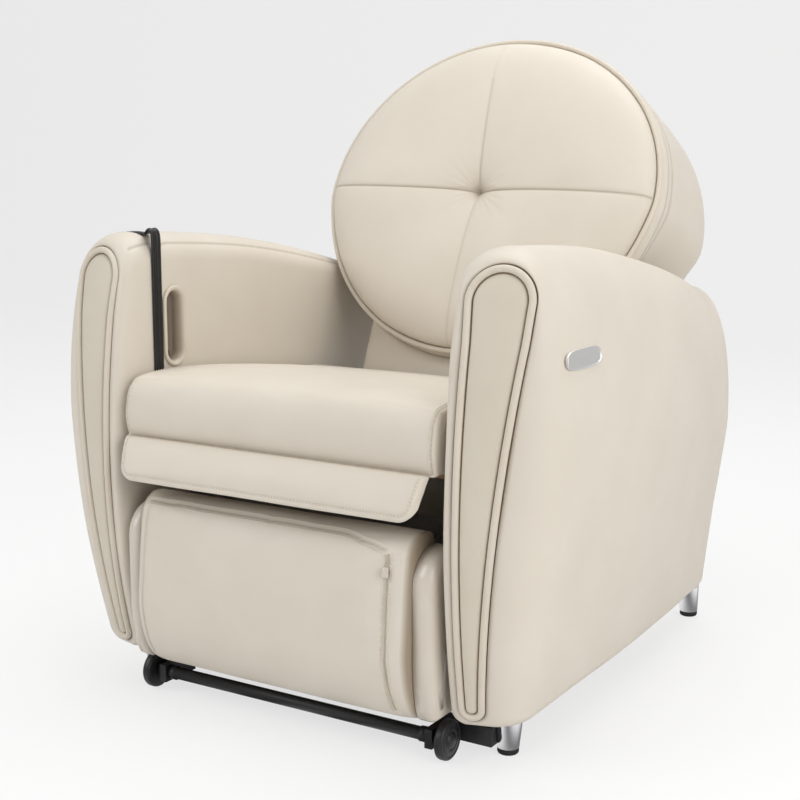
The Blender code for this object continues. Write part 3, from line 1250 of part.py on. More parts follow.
def make_rocker(place, name, side):
    """Bent rocker arm with a massage roller at each end."""
    x = side * ARM_PIVOT_X
    axis = empty(f"{name}_rocker_axis", (x, SHAFT_DEPTH, 0), place)
    thick = ROCKER_THICKNESS / 2
    solids = []
    pin_start = side * (thick + RUN_GAP)
    pin_stop = side * (thick + RUN_GAP + ROLLER_WIDTH)
    for rise in (-ROCKER_REACH, ROCKER_REACH):
        end = (-ROCKER_FORWARD, rise)
        outline = link_outline((0, 0), end, ROCKER_HUB_RADIUS, ROCKER_END_RADIUS)
        solids.append(prism(outline, -thick, thick))
        solids.append(rod(ROLLER_PIN_RADIUS, *sorted((0.0, pin_stop)), end))
    arm = cut(weld(*solids), rod(SHAFT_RADIUS + RUN_GAP, -TUBE, TUBE, (0, 0)))
    piece(f"{name}_rocker_arm", arm, STEEL, axis)
    start, stop = sorted((pin_start, pin_stop))
    middle = (start + stop) / 2
    half = ROLLER_WIDTH / 2
    profile = (
        (-half, ROLLER_EDGE_SHARE),
        (ROLLER_EDGE - half, ROLLER_SHOULDER_SHARE),
        (0.0, 1.0),
        (half - ROLLER_EDGE, ROLLER_SHOULDER_SHARE),
        (half, ROLLER_EDGE_SHARE),
    )
    for level, rise in (("upper", ROCKER_REACH), ("lower", -ROCKER_REACH)):
        roller = turned([(at, share * ROLLER_RADIUS) for at, share in profile], (0, 0))
        roller = cut(roller, rod(ROLLER_PIN_RADIUS + RUN_GAP, -ROLLER_WIDTH, ROLLER_WIDTH, (0, 0)))
        hub = empty(f"{name}_{level}_roller_axis", (middle, -ROCKER_FORWARD, rise), axis)
        piece(f"{name}_{level}_roller", roller, RUBBER, hub)


def main():
    clear_scene()
    middle = (FLAP_REACH_Y + shell_reach()) / 2
    chair = empty("chair", (0, -middle, 0))
    for name, side in (("left", -1), ("right", 1)):
        make_arm(chair, name, side)
    make_badge(chair)
    make_pocket(chair)
    make_paddle(chair)
    make_strap(chair)
    make_seat(chair)
    make_flap(chair)
    make_base_frame(chair)
    make_feet(chair)
    make_wheels(chair)
    make_rear_cover(chair)
    make_controls(chair)
    leg_frame = make_leg_rest(chair)
    make_zip_pull(leg_frame)
    make_gear_motor(chair)
    make_recline_rod(chair)
    make_gas_spring(chair)
    recline = empty("recline_axis", (0, RECLINE_Y, RECLINE_Z), chair)
    plane = empty("back_plane", (0, BACK_Y - RECLINE_Y, BACK_Z - RECLINE_Z), recline, -BACK_TILT)
    make_back_covers(plane)
    make_backrest_frame(plane)
    make_mechanism(plane)


main()
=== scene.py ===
"""Looks of the massage armchair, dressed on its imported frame, in metres with +Z up.

Shapes are set in the chair's own frame, in which y = 0 is the wheels' axle line and z = 0 the floor,
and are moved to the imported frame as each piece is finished.
"""
import json
import math
from contextlib import contextmanager

import bmesh
import bpy
import numpy as np
from mathutils import Matrix, Vector
from mathutils.bvhtree import BVHTree


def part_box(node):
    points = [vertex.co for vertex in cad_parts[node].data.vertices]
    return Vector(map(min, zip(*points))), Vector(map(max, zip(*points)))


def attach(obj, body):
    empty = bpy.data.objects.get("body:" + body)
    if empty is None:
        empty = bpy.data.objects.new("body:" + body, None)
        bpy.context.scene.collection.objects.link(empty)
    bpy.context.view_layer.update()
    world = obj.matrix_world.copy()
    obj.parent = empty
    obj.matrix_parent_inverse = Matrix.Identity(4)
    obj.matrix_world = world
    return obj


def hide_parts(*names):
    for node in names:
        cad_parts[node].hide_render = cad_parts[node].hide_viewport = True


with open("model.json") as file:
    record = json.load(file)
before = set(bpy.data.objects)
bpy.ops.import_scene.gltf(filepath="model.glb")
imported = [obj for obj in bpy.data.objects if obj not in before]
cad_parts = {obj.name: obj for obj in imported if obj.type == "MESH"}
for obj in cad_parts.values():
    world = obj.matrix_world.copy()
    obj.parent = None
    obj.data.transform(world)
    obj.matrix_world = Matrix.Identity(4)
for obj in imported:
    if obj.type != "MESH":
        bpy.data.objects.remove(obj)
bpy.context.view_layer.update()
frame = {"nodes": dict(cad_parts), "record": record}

# The chair's own frame, and the two leaning planes in it
WHEEL_LOW, WHEEL_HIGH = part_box("left_wheel")
OWN = Matrix.Translation((0.0, (WHEEL_LOW.y + WHEEL_HIGH.y) / 2, 0.0))
BACK_PLANE = Matrix.Translation((0.0, 0.587, 0.765)) @ Matrix.Rotation(math.radians(-23.3), 4, "X")
FLAP_PLANE = Matrix.Translation((0.0, -0.0483, 0.4131)) @ Matrix.Rotation(math.radians(-23.7), 4, "X")

SIDES = (("left", -1), ("right", 1))

# Arms, given for the right arm
ARM_INNER_X, ARM_OUTER_X, ARM_CREST_X = 0.278, 0.435, 0.335
ARM_FLOOR_Z, ARM_WAIST_Z, ARM_TOP_Z = 0.062, 0.45, 0.715
ARM_BODY_START, ARM_BODY_END, ARM_REAR_ROUND = 0.05, 0.677, 0.12
ARM_HEM = 0.018
ARM_TUCK, TUCK_START, TUCK_RUN = 0.048, 0.30, 0.497
ARM_FLARE, FLARE_RUN = 0.056, 0.36
CREST_FALL, CREST_RUN = 0.12, 0.74
OUTER_ROUND, INNER_ROUND, INNER_EDGE = 2.4, 2.2, 0.045
FRONT_FOOT_X, FRONT_FOOT_Z, FRONT_HEIGHT = 0.3135, 0.073, 0.622
FRONT_DRIFT, DRIFT_RUN = 0.0335, 0.524
FRONT_BOW, BOW_Z, BOW_RUN = 0.052, 0.345, 0.369
FRONT_TURN = math.tan(math.radians(11))
FRONT_HIGH, FRONT_WIDE = 0.646, 0.049
FRONT_LOW, FRONT_SLIM = 0.0935, 0.0205
PANEL_DEPTH, PANEL_SEAT = 0.010, 0.0083
PANEL_INSET, PANEL_LIP = 0.0128, 0.0062
STRAP_Y, STRAP_DRIFT, STRAP_HALF = 0.0375, 0.017, 0.0106
STRAP_RISE = ((-0.2766, 0.472), (-0.2766, 0.56), (-0.2766, 0.64), (-0.2764, 0.685), (-0.2766, 0.703),
              (-0.2780, 0.7135), (-0.2822, 0.7186), (-0.2885, 0.7180), (-0.2950, 0.7142), (-0.3030, 0.7112),
              (-0.3130, 0.7106))
BADGE_Y, BADGE_Z = 0.068, 0.57
BADGE_HALF_LENGTH, BADGE_HALF_HEIGHT = 0.0525, 0.014
POCKET_Y, POCKET_Z = 0.077, 0.5675
POCKET_RADIUS, POCKET_STRAIGHT = 0.020, 0.0375

# Seat, flap, lumbar pad and leg rest
SEAT_HALF, SEAT_EDGE = 0.2715, 0.008
FLAP_HALF, FLAP_DEPTH, FLAP_CORNER, FLAP_EDGE = 0.2635, 0.067, 0.022, 0.006
FLAP_BORDER, FLAP_FLARE = 0.0072, 0.037
LUMBAR_HALF, LUMBAR_EDGE = 0.1945, 0.012
LEG_HALF, LEG_EDGE = 0.2410, 0.045
LEG_ROUND_Y, LEG_ROUND_Z = -0.030, 0.291
ZIP_X = 0.2085

# Sewing and cloth
STITCH_HALF, STITCH_RADIUS = 0.0020, 0.00085
CAST_START, CAST_REACH, SETTLE_REACH = 0.2, 0.5, 0.05
SEAM_SHARE = 0.35
CLOTH_FRAMES = 20
CLOTH_STIFFNESS = {"tension": 40.0, "compression": 40.0, "shear": 20.0, "bending": 2.0}
HAND_WAVES = ((19.0, 7.0, 11.0, 0.4), (-9.0, 23.0, 14.0, 1.9), (6.0, -13.0, 27.0, 3.1), (31.0, 17.0, -8.0, 5.2))

# Back
DISC_HALF = np.array((0.318, 0.288))
DISC_CROWN, DISC_NARROW = 0.045, 0.045
TUFT_RISE = -0.006
# How far the drum stands out past the cushion, how deep, and how much slimmer its lower half is
DRUM_ROWS = ((0.006, 0.0283, 0.045), (0.0064, 0.0695, 0.132), (0.0064, 0.1217, 0.22), (0.0064, 0.1904, 0.22),
             (0.0016, 0.2343, 0.165), (-0.0224, 0.2700, 0.11), (-0.08, 0.2948, 0.055), (-0.192, 0.303, 0.055),
             (-0.24, 0.3034, 0.055), (-0.272, 0.3036, 0.055))

# Feet as place, y and splay; turned pieces as (position along the axis, radius)
FEET = (("front", 0.068, 0.0), ("rear", 0.769, math.tan(math.radians(15))))
FOOT_X, WHEEL_X, AXLE_Z = 0.325, 0.265, 0.030
FOOT_PROFILE = ((0.0616, 0.0212), (0.0612, 0.0219), (0.0585, 0.0216), (0.0360, 0.0190), (0.0140, 0.0165),
                (0.0096, 0.0161), (0.0085, 0.0156))
GLIDE_PROFILE = ((0.0081, 0.0145), (0.0078, 0.0154), (0.0060, 0.0156), (0.0030, 0.0155), (0.0010, 0.0146),
                 (0.0, 0.0131))
WHEEL_PROFILE = ((0.0073, 0.0), (0.0073, 0.0056), (-0.0068, 0.0056), (-0.007, 0.0062), (-0.007, 0.0235),
                 (-0.0066, 0.0262), (-0.0052, 0.0283), (-0.003, 0.029), (0.003, 0.029), (0.0052, 0.0283),
                 (0.0066, 0.0266), (0.0069, 0.0248), (0.0058, 0.0236), (0.0058, 0.0226), (0.0070, 0.0212),
                 (0.0072, 0.0140), (0.0062, 0.0128), (0.0066, 0.0116), (0.0086, 0.0106), (0.0092, 0.0080),
                 (0.0094, 0.0))
AXLE_PROFILE = ((-0.2722, 0.0046), (-0.2722, 0.005), (-0.2578, 0.005), (-0.2576, 0.0092), (-0.2570, 0.0095),
                (-0.2497, 0.0095), (-0.2490, 0.0095), (-0.2340, 0.0095), (-0.2332, 0.0112), (-0.2230, 0.0112),
                (-0.2222, 0.0095))

# Studio: each light's name, place, size and power, and the photo's camera
LIGHTS = (("key_light", (-2.3, -3.0, 2.7), 2.6, 65.0), ("side_light", (3.2, -1.2, 1.7), 2.4, 55.0),
          ("top_light", (0.2, 0.6, 3.4), 2.8, 68.0))
LIGHT_AIM = Vector((0.0, 0.0, 0.45))
CAMERA_PLACE = (1.1869, -1.6119 + OWN.translation.y, 0.83)
CAMERA_PITCH, CAMERA_AZIMUTH, CAMERA_LENS = math.radians(9.8), math.radians(31.8), 63.54


class Wire:
    """A socket of a finish, so that shader maths reads as a Python expression."""

    def __init__(self, finish, socket):
        self.finish = finish
        self.socket = socket

    def maths(self, operation, first, second):
        return self.finish.node("Math", {"operation": operation}, (first, second))

    def __add__(self, other):
        return self.maths("ADD", self, other)

    def __radd__(self, other):
        return self.maths("ADD", other, self)

    def __rsub__(self, other):
        return self.maths("SUBTRACT", other, self)

    def __mul__(self, other):
        return self.maths("MULTIPLY", self, other)


class Finish:
    """A material, its shader and the nodes that feed it."""

    def __init__(self, name, constants):
        self.material = bpy.data.materials.new(name)
        self.material.use_nodes = True
        self.tree = self.material.node_tree
        self.shader = self.tree.nodes["Principled BSDF"]
        for socket, value in constants.items():
            self.shader.inputs[socket].default_value = value
        self.place = self.node("TexCoord", output="Object")

    def node(self, kind, settings=None, sockets=(), output=0):
        """Add a node with its settings first, then the values or wires of its sockets."""
        made = self.tree.nodes.new("ShaderNode" + kind)
        for key, value in (settings or {}).items():
            setattr(made, key, value)
        pairs = sockets.items() if isinstance(sockets, dict) else enumerate(sockets)
        for key, value in pairs:
            self.feed(made.inputs[key], value)
        return Wire(self, made.outputs[output])

    def feed(self, socket, value):
        if isinstance(value, Wire):
            self.tree.links.new(value.socket, socket)
        else:
            socket.default_value = value

    def noise(self, scale, detail, stretch=(1.0, 1.0, 1.0)):
        place = self.node("Mapping", {}, {"Vector": self.place, "Scale": stretch})
        return self.node("TexNoise", {}, {"Vector": place, "Scale": scale, "Detail": detail})

    def mix(self, share, first, second):
        return self.node("Mix", {"data_type": "RGBA"}, {0: share, 6: first, 7: second}, output=2)

    def bump(self, height, strength, distance):
        sockets = {"Height": height, "Strength": strength, "Distance": distance}
        self.feed(self.shader.inputs["Normal"], self.node("Bump", {}, sockets))

    def set(self, socket, value):
        self.feed(self.shader.inputs[socket], value)

    def done(self, colour, rough, relief, strength, distance):
        """Set what every finish has, and give its material."""
        self.set("Base Color", colour)
        self.set("Roughness", rough)
        self.bump(relief, strength, distance)
        return self.material


def screen(colour):
    """Scene colour of a colour written as 0 to 255 on screen."""
    shares = [level / 255 for level in colour]
    return (*(s / 12.92 if s <= 0.04045 else ((s + 0.055) / 1.055) ** 2.4 for s in shares), 1.0)


def leather_finish(name, light, dark, crease):
    """Soft semi-matt hide: a fine pebble grain, broad change of tone, and painted shade in seams, folds and
    gaps.
    """
    finish = Finish(name, {"Specular IOR Level": 0.42, "Sheen Weight": 0.06, "Sheen Roughness": 0.5})
    sockets = {"Vector": finish.place, "Scale": 780.0}
    pebbles = finish.node("TexVoronoi", {"feature": "DISTANCE_TO_EDGE"}, sockets)
    pores = finish.noise(1500.0, 2.0)
    broad = finish.noise(9.0, 4.0)
    # painted shade: a per-point share mixes the hide towards its last colour in seams, folds and gaps
    shade_share = finish.node("Attribute", {"attribute_name": "crease"}, output="Fac")
    colour = finish.mix(shade_share, finish.mix(broad, light, dark), crease)
    rough = 0.40 + broad * 0.10 + pores * 0.06 + shade_share * 0.12
    return finish.done(colour, rough, pebbles * 1.6 + pores * 0.35 + broad * 0.8, 0.16, 0.0012)


def thread_finish(name, light, dark):
    finish = Finish(name, {"Specular IOR Level": 0.3, "Sheen Weight": 0.2})
    twist = finish.noise(2600.0, 1.0)
    return finish.done(finish.mix(twist, light, dark), 0.55 + twist * 0.2, twist, 0.3, 0.0004)


def gloss_finish(name, colour, shade):
    """Glossy moulded plastic with a faint orange-peel surface."""
    finish = Finish(name, {"Coat Roughness": 0.08, "Specular IOR Level": 0.5})
    peel = finish.noise(260.0, 2.0)
    broad = finish.noise(6.0, 2.0)
    finish.set("Coat Weight", 0.25 + broad * 0.2)
    return finish.done(finish.mix(broad, colour, shade), 0.2 + peel * 0.08, peel, 0.05, 0.0006)


def plastic_finish(name, colour, worn, rough, recess_shade=None):
    """Satin plastic or rubber with a fine spark-eroded texture, slight scuffs and painted shade in recesses."""
    finish = Finish(name, {"Specular IOR Level": 0.45})
    grain = finish.noise(900.0, 3.0)
    scuff = finish.noise(38.0, 6.0)
    tone = finish.mix(scuff * scuff, colour, worn)
    if recess_shade:
        # painted shade: darker towards the bottom of a recess
        depth = finish.node("Attribute", {"attribute_name": "crease"}, output="Fac")
        tone = finish.mix(depth, tone, recess_shade)
    return finish.done(tone, rough + grain * 0.12 + scuff * 0.08, grain, 0.12, 0.0005)


def metal_finish(name, colour, dull, rough, stretch, streak):
    """Metal with fine streaks along its length."""
    finish = Finish(name, {})
    lines = finish.noise(300.0, 4.0, stretch)
    broad = finish.noise(22.0, 3.0)
    finish.set("Metallic", 1.0 - broad * 0.02)
    tone = finish.mix(lines * broad, colour, dull)
    return finish.done(tone, rough + lines * streak + broad * 0.03, lines, 0.04, 0.0003)


def coat_finish(name, colour, worn):
    """Powder coat on steel, with a fine orange peel."""
    finish = Finish(name, {"Specular IOR Level": 0.5})
    peel = finish.noise(700.0, 2.0)
    rub = finish.noise(30.0, 6.0)
    return finish.done(finish.mix(rub * rub, colour, worn), 0.42 + peel * 0.18, peel, 0.2, 0.0006)


def plywood_finish(name, light, dark):
    finish = Finish(name, {"Specular IOR Level": 0.3})
    grain = finish.noise(70.0, 6.0, (1.0, 0.08, 1.0))
    pore = finish.noise(420.0, 3.0, (1.0, 0.05, 1.0))
    tone = finish.mix(grain * 0.7 + pore * 0.3, light, dark)
    return finish.done(tone, 0.62 + pore * 0.2, pore, 0.25, 0.0006)


# Finishes, with colours as they look on screen, or as plain shares of light for bare metal
# Each hide's last colour is the painted shade laid into its seams, folds and gaps
HIDE = leather_finish("cream_hide", *map(screen, ((217, 209, 196), (207, 198, 184), (150, 135, 115))))
# darker copy of the cream hide: painted shade on the arms' forward-facing front panels
PANEL_SHADED_HIDE = leather_finish("front_hide_painted_shade", *map(screen, ((209, 200, 185), (199, 190, 174), (140, 124, 103))))
HIDE_PIPING = leather_finish("piping_hide", *map(screen, ((214, 205, 191), (203, 193, 177), (160, 144, 122))))
# Dark leather for painted shadow lines beside the arms' front piping
SHADOW_LINE_HIDE = leather_finish("seam_crease", *map(screen, ((146, 128, 104), (134, 116, 93), (110, 95, 78))))
THREAD = thread_finish("cream_thread", screen((236, 229, 216)), screen((206, 194, 176)))
GLOSS = gloss_finish("gloss_white_moulding", screen((210, 201, 189)), screen((203, 193, 180)))
BLACK = plastic_finish("satin_black", screen((26, 26, 27)), screen((44, 44, 45)), 0.34)
STRAP_BLACK = plastic_finish("ribbed_black", screen((13, 13, 14)), screen((26, 26, 27)), 0.3)
RUBBER = plastic_finish("black_rubber_feet", screen((30, 30, 30)), screen((52, 51, 50)), 0.62)
# the last colour is painted shade inside the pocket's recess
POCKET = plastic_finish("pocket_moulding", screen((212, 202, 186)), screen((198, 187, 170)), 0.36,
                        screen((132, 119, 102)))
# darker plastic: painted shade for the paddle inside the pocket's recess
PADDLE_SHADE = plastic_finish("paddle_painted_shade", screen((128, 115, 99)), screen((114, 101, 86)), 0.4)
GREY = plastic_finish("grey_housing", screen((96, 97, 99)), screen((120, 120, 121)), 0.45)
STEEL = coat_finish("grey_powder_coat", screen((112, 108, 104)), screen((134, 130, 126)))
# darker than bare plywood: painted shade for its edge that shows under the seat
SHADED_PLYWOOD = plywood_finish("plywood_painted_shade", screen((150, 124, 92)), screen((122, 98, 70)))
CHROME = metal_finish("polished_chrome", (0.86, 0.86, 0.88, 1.0), (0.74, 0.74, 0.76, 1.0), 0.06,
                      (1.0, 1.0, 0.04), 0.05)
SILVER = metal_finish("satin_silver", (0.88, 0.87, 0.85, 1.0), (0.78, 0.77, 0.75, 1.0), 0.36,
                      (1.0, 0.05, 1.0), 0.12)
BRIGHT = metal_finish("bright_steel_rod", (0.62, 0.62, 0.64, 1.0), (0.48, 0.48, 0.5, 1.0), 0.2,
                      (0.06, 1.0, 1.0), 0.14)
NODE_FINISHES = {
    "black_plastic": BLACK, "black_rubber": RUBBER, "chrome": CHROME, "silver": SILVER,
    "painted_steel": STEEL, "bright_steel": BRIGHT, "plywood": SHADED_PLYWOOD, "pocket_plastic": POCKET,
    "grey_plastic": GREY, "gloss_white": GLOSS, "cream_leather": HIDE,
}


# Mesh tools

def unit(value):
    return np.clip(value, 0, 1)


def bell(gap, width):
    return np.exp(-(gap / width) ** 2)


def arc(start, stop, count):
    """Angles from start to stop, given in degrees."""
    return np.radians(np.linspace(start, stop, count))


def circle(count):
    return np.linspace(0, 2 * math.pi, count, endpoint=False)


def linked(name, data):
    made = bpy.data.objects.new(name, data)
    bpy.context.scene.collection.objects.link(made)
    return made


@contextmanager
def edited(made):
    """Edit mesh of a piece, which is put back and shaded smooth at the end."""
    work = bmesh.new()
    work.from_mesh(made.data)
    yield work
    work.to_mesh(made.data)
    work.free()
    made.data.shade_smooth()


def solid(name, points, faces):
    """Smooth mesh object from points and faces, with its faces turned outwards."""
    data = bpy.data.meshes.new(name)
    data.from_pydata(np.asarray(points, float).tolist(), [], faces)
    made = linked(name, data)
    face_outwards(made)
    return made


def face_outwards(made):
    with edited(made) as work:
        bmesh.ops.remove_doubles(work, verts=work.verts, dist=1e-6)
        bmesh.ops.recalc_face_normals(work, faces=work.faces)


def skin(name, rings, ends=True, round_trip=False):
    """Surface over rings of equal length. Ends are closed by a fan round their middle."""
    rings = np.asarray(rings, float)
    rows, count = rings.shape[:2]
    index = np.arange(rows * count).reshape(rows, count)
    beside = np.roll(index, -1, axis=1)
    faces = []
    last = rows if round_trip else rows - 1
    for row in range(last):
        other = (row + 1) % rows
        faces += np.stack((index[row], beside[row], beside[other], index[other]), axis=1).tolist()
    points = rings.reshape(-1, 3)
    if ends and not round_trip:
        points = np.vstack((points, rings[0].mean(0), rings[-1].mean(0)))
        for row, middle in ((0, rows * count), (rows - 1, rows * count + 1)):
            faces += [[a, b, middle] for a, b in zip(index[row].tolist(), beside[row].tolist())]
    return solid(name, points, faces)


def tube(name, path, radius, sides):
    """Round cord along a closed loop of points."""
    along = np.roll(path, -1, axis=0) - np.roll(path, 1, axis=0)
    along /= np.linalg.norm(along, axis=1)[:, None]
    side = np.cross(along, np.array((0.0, 1.0, 0.0)))
    side /= np.linalg.norm(side, axis=1)[:, None]
    other = np.cross(along, side)
    turns = circle(sides)
    rings = [point + radius * (np.outer(np.cos(turns), a) + np.outer(np.sin(turns), b))
             for point, a, b in zip(path, side, other)]
    return skin(name, rings, round_trip=True)


def lathe(name, profile, axis, middle, sides=64):
    """Solid turned about an axis from (position, radius) pairs."""
    turns = circle(sides)
    rings = []
    for level, radius in profile:
        across, beyond = radius * np.cos(turns), radius * np.sin(turns)
        flat = np.full(sides, level)
        columns = {"X": (flat, across, beyond), "Z": (across, beyond, flat)}[axis]
        rings.append(np.stack(columns, axis=1) + np.array(middle))
    return skin(name, rings)


def curve_through(points, steps):
    """Smooth path through points, with equal steps in each span."""
    points = np.asarray(points, float)
    padded = np.vstack((2 * points[0] - points[1], points, 2 * points[-1] - points[-2]))
    made = []
    for index in range(1, len(padded) - 2):
        a, b, c, d = padded[index - 1:index + 3]
        for share in np.linspace(0, 1, steps, endpoint=False):
            made.append(0.5 * (2 * b + (c - a) * share + (2 * a - 5 * b + 4 * c - d) * share ** 2
                               + (3 * b - a - 3 * c + d) * share ** 3))
    return np.array(made + [points[-1]])


def side_curve(points, steps, x=0.0):
    """Smooth path through (y, z) points at one x."""
    return curve_through([(x, y, z) for y, z in points], steps)


def evenly(path, gap):
    """Path resampled at about a given gap."""
    path = np.asarray(path, float)
    run = np.concatenate(((0.0,), np.cumsum(np.linalg.norm(np.diff(path, axis=0), axis=1))))
    count = max(2, int(run[-1] / gap) + 1)
    at = np.linspace(0, run[-1], count)
    return np.stack([np.interp(at, run, path[:, axis]) for axis in range(3)], axis=1)


def vertex_values(made, key):
    values = np.empty(len(made.data.vertices) * 3)
    made.data.vertices.foreach_get(key, values)
    return values.reshape(-1, 3)


def points_of(made):
    return vertex_values(made, "co")


def normals_of(made):
    return vertex_values(made, "normal")


def set_points(made, points):
    made.data.vertices.foreach_set("co", np.ascontiguousarray(points, float).ravel())
    made.data.update()


def baked(made):
    """Replace an object's mesh by its evaluated one and drop its modifiers."""
    evaluated = made.evaluated_get(bpy.context.evaluated_depsgraph_get())
    data = bpy.data.meshes.new_from_object(evaluated)
    made.modifiers.clear()
    made.data = data
    data.shade_smooth()


def carved(made, tool):
    """Cut a closed tool out of a piece."""
    step = made.modifiers.new("carve", "BOOLEAN")
    step.object = tool
    step.operation = "DIFFERENCE"
    baked(made)
    bpy.data.objects.remove(tool, do_unlink=True)


def mark_crease(made, shares):
    """Store how much painted shade each point gets in a seam, fold, gap or recess, for a darker tone."""
    layer = made.data.attributes.get("crease") or made.data.attributes.new("crease", "FLOAT", "POINT")
    layer.data.foreach_set("value", unit(shares).astype(np.float32))


def near_path(points, path):
    """Distance from each point to the nearest point of a path."""
    best = np.full(len(points), 1e9)
    for start in range(0, len(path), 64):
        gaps = points[:, None, :] - path[None, start:start + 64, :]
        best = np.minimum(best, np.sqrt((gaps ** 2).sum(2)).min(1))
    return best


def press_seam(made, path, depth, width, shade):
    """Draw a piece in along a seam, and paint shade along the seam's line."""
    points = points_of(made)
    gap = near_path(points, evenly(path, 0.002))
    dip = depth * bell(gap, width)
    set_points(made, points - normals_of(made) * dip[:, None])
    layer = made.data.attributes.get("crease")
    held = np.zeros(len(points), np.float32)
    if layer:
        layer.data.foreach_get("value", held)
    mark_crease(made, np.maximum(held, shade * bell(gap, SEAM_SHARE * width)))


def handmade(made, size):
    """Slight unevenness of stuffed hide: a fixed sum of slow waves along the surface's normals."""
    points = points_of(made)
    height = sum(np.sin(points @ np.array(wave[:3]) + wave[3]) for wave in HAND_WAVES) / len(HAND_WAVES)
    set_points(made, points + normals_of(made) * (size * height)[:, None])


def swell(made, held, pressure, limit):
    """Short cloth run with inner pressure. Held points stay, and no point moves past the limit."""
    start = points_of(made)
    group = made.vertex_groups.new(name="held")
    group.add(np.flatnonzero(held).tolist(), 1.0, "REPLACE")
    cloth = made.modifiers.new("swell", "CLOTH")
    cloth.settings.vertex_group_mass = "held"
    cloth.settings.use_pressure = True
    cloth.settings.uniform_pressure_force = pressure
    cloth.settings.effector_weights.gravity = 0.0
    for key, value in CLOTH_STIFFNESS.items():
        setattr(cloth.settings, key + "_stiffness", value)
    cloth.point_cache.frame_start = 1
    cloth.point_cache.frame_end = CLOTH_FRAMES
    for step in range(1, CLOTH_FRAMES + 1):
        bpy.context.scene.frame_set(step)
    evaluated = made.evaluated_get(bpy.context.evaluated_depsgraph_get())
    moved = points_of(evaluated) - start
    made.modifiers.clear()
    made.vertex_groups.clear()
    bpy.context.scene.frame_set(1)
    length = np.linalg.norm(moved, axis=1)
    share = np.where(length > limit, limit / np.maximum(length, 1e-9), 1.0)
    set_points(made, start + moved * share[:, None])


def smoothed(made, rounds):
    """Even out a mesh by a few rounds of averaging."""
    with edited(made) as work:
        for _ in range(rounds):
            bmesh.ops.smooth_vert(work, verts=work.verts, factor=0.5, use_axis_x=True, use_axis_y=True,
                                  use_axis_z=True)


def rounded_stations(half, edge, count, steps):
    """Places across a piece from end to end, closer where its ends round over."""
    bend = half - edge + edge * np.sin(arc(0, 90, steps)[1:])
    return np.concatenate((-bend[::-1], np.linspace(-1, 1, count) * (half - edge), bend))


def quarter_round(share):
    """Fall of a rounded edge at a share of its width, as a share of its height."""
    return 1 - math.sqrt(max(0.0, 1 - share ** 2))


def dress(made, body, finish, slot, stands_for=(), place=OWN):
    """Finish a piece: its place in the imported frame, its material, and what carries it."""
    made.data.transform(place)
    made.data.materials.clear()
    made.data.materials.append(finish)
    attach(made, body)
    if stands_for:
        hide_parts(*stands_for)


def hide_piece(made, body, stands_for, place=OWN):
    dress(made, body, HIDE, "cream_leather", stands_for, place)


# Stitches, zip teeth and other small things that follow a path

def bead_tree():
    """Geometry nodes that set small oval beads end to end along the edges of a mesh."""
    tree = bpy.data.node_groups.new("beads_on_path", "GeometryNodeTree")
    sockets = {}
    for name, kind in (("Path", "Geometry"), ("Pitch", "Float"), ("Along", "Float"), ("Across", "Float"),
                       ("Finish", "Material")):
        sockets[name] = tree.interface.new_socket(name, in_out="INPUT", socket_type="NodeSocket" + kind)
    tree.interface.new_socket("Beads", in_out="OUTPUT", socket_type="NodeSocketGeometry")

    def node(kind, settings=None, **links):
        made = tree.nodes.new(kind)
        for key, value in (settings or {}).items():
            setattr(made, key, value)
        for key, value in links.items():
            if isinstance(value, bpy.types.NodeSocket):
                tree.links.new(value, made.inputs[key])
            else:
                made.inputs[key].default_value = value
        return made

    given = node("NodeGroupInput").outputs
    line = node("GeometryNodeMeshToCurve", Mesh=given["Path"]).outputs["Curve"]
    spaced = node("GeometryNodeResampleCurve", {"mode": "LENGTH"}, Curve=line, Length=given["Pitch"])
    ball = node("GeometryNodeMeshUVSphere", Segments=6, Rings=5, Radius=1.0).outputs["Mesh"]
    smooth = node("GeometryNodeSetShadeSmooth", Geometry=ball).outputs["Geometry"]
    tangent = node("GeometryNodeInputTangent").outputs["Tangent"]
    turned = node("FunctionNodeAlignRotationToVector", {"axis": "Z"}, Vector=tangent).outputs["Rotation"]
    sizes = node("ShaderNodeCombineXYZ", X=given["Across"], Y=given["Across"], Z=given["Along"])
    beads = node("GeometryNodeInstanceOnPoints", Points=spaced.outputs["Curve"], Instance=smooth,
                 Rotation=turned, Scale=sizes.outputs["Vector"])
    real = node("GeometryNodeRealizeInstances", Geometry=beads.outputs["Instances"])
    painted = node("GeometryNodeSetMaterial", Geometry=real.outputs["Geometry"], Material=given["Finish"])
    tree.links.new(painted.outputs["Geometry"], node("NodeGroupOutput").inputs["Beads"])
    return tree, sockets


BEAD_TREE, BEAD_SOCKETS = bead_tree()


def beads(name, paths, pitch, along, across, finish, body, slot, place=OWN):
    """One mesh of beads along several paths, riding on a body."""
    points, edges = [], []
    for path in paths:
        start = len(points)
        points += np.asarray(path, float).tolist()
        edges += [(start + index, start + index + 1) for index in range(len(path) - 1)]
    data = bpy.data.meshes.new(name)
    data.from_pydata(points, edges, [])
    made = linked(name, data)
    step = made.modifiers.new("beads", "NODES")
    step.node_group = BEAD_TREE
    for key, value in (("Pitch", pitch), ("Along", along), ("Across", across), ("Finish", finish)):
        step[BEAD_SOCKETS[key].identifier] = value
    baked(made)
    dress(made, body, finish, slot, place=place)


def stitched(name, paths, body, place=OWN, pitch=0.0056):
    beads(name, paths, pitch, STITCH_HALF, STITCH_RADIUS, THREAD, body, "cream_leather", place)


def surface_points(made, points, find, lift):
    """Where a search of a piece's surface ends for each point, lifted off the surface."""
    tree = BVHTree.FromObject(made, bpy.context.evaluated_depsgraph_get())
    found = [find(tree, Vector(point)) for point in points]
    return np.array([np.array(hit + normal * lift) for hit, normal, _, _ in found if hit is not None])


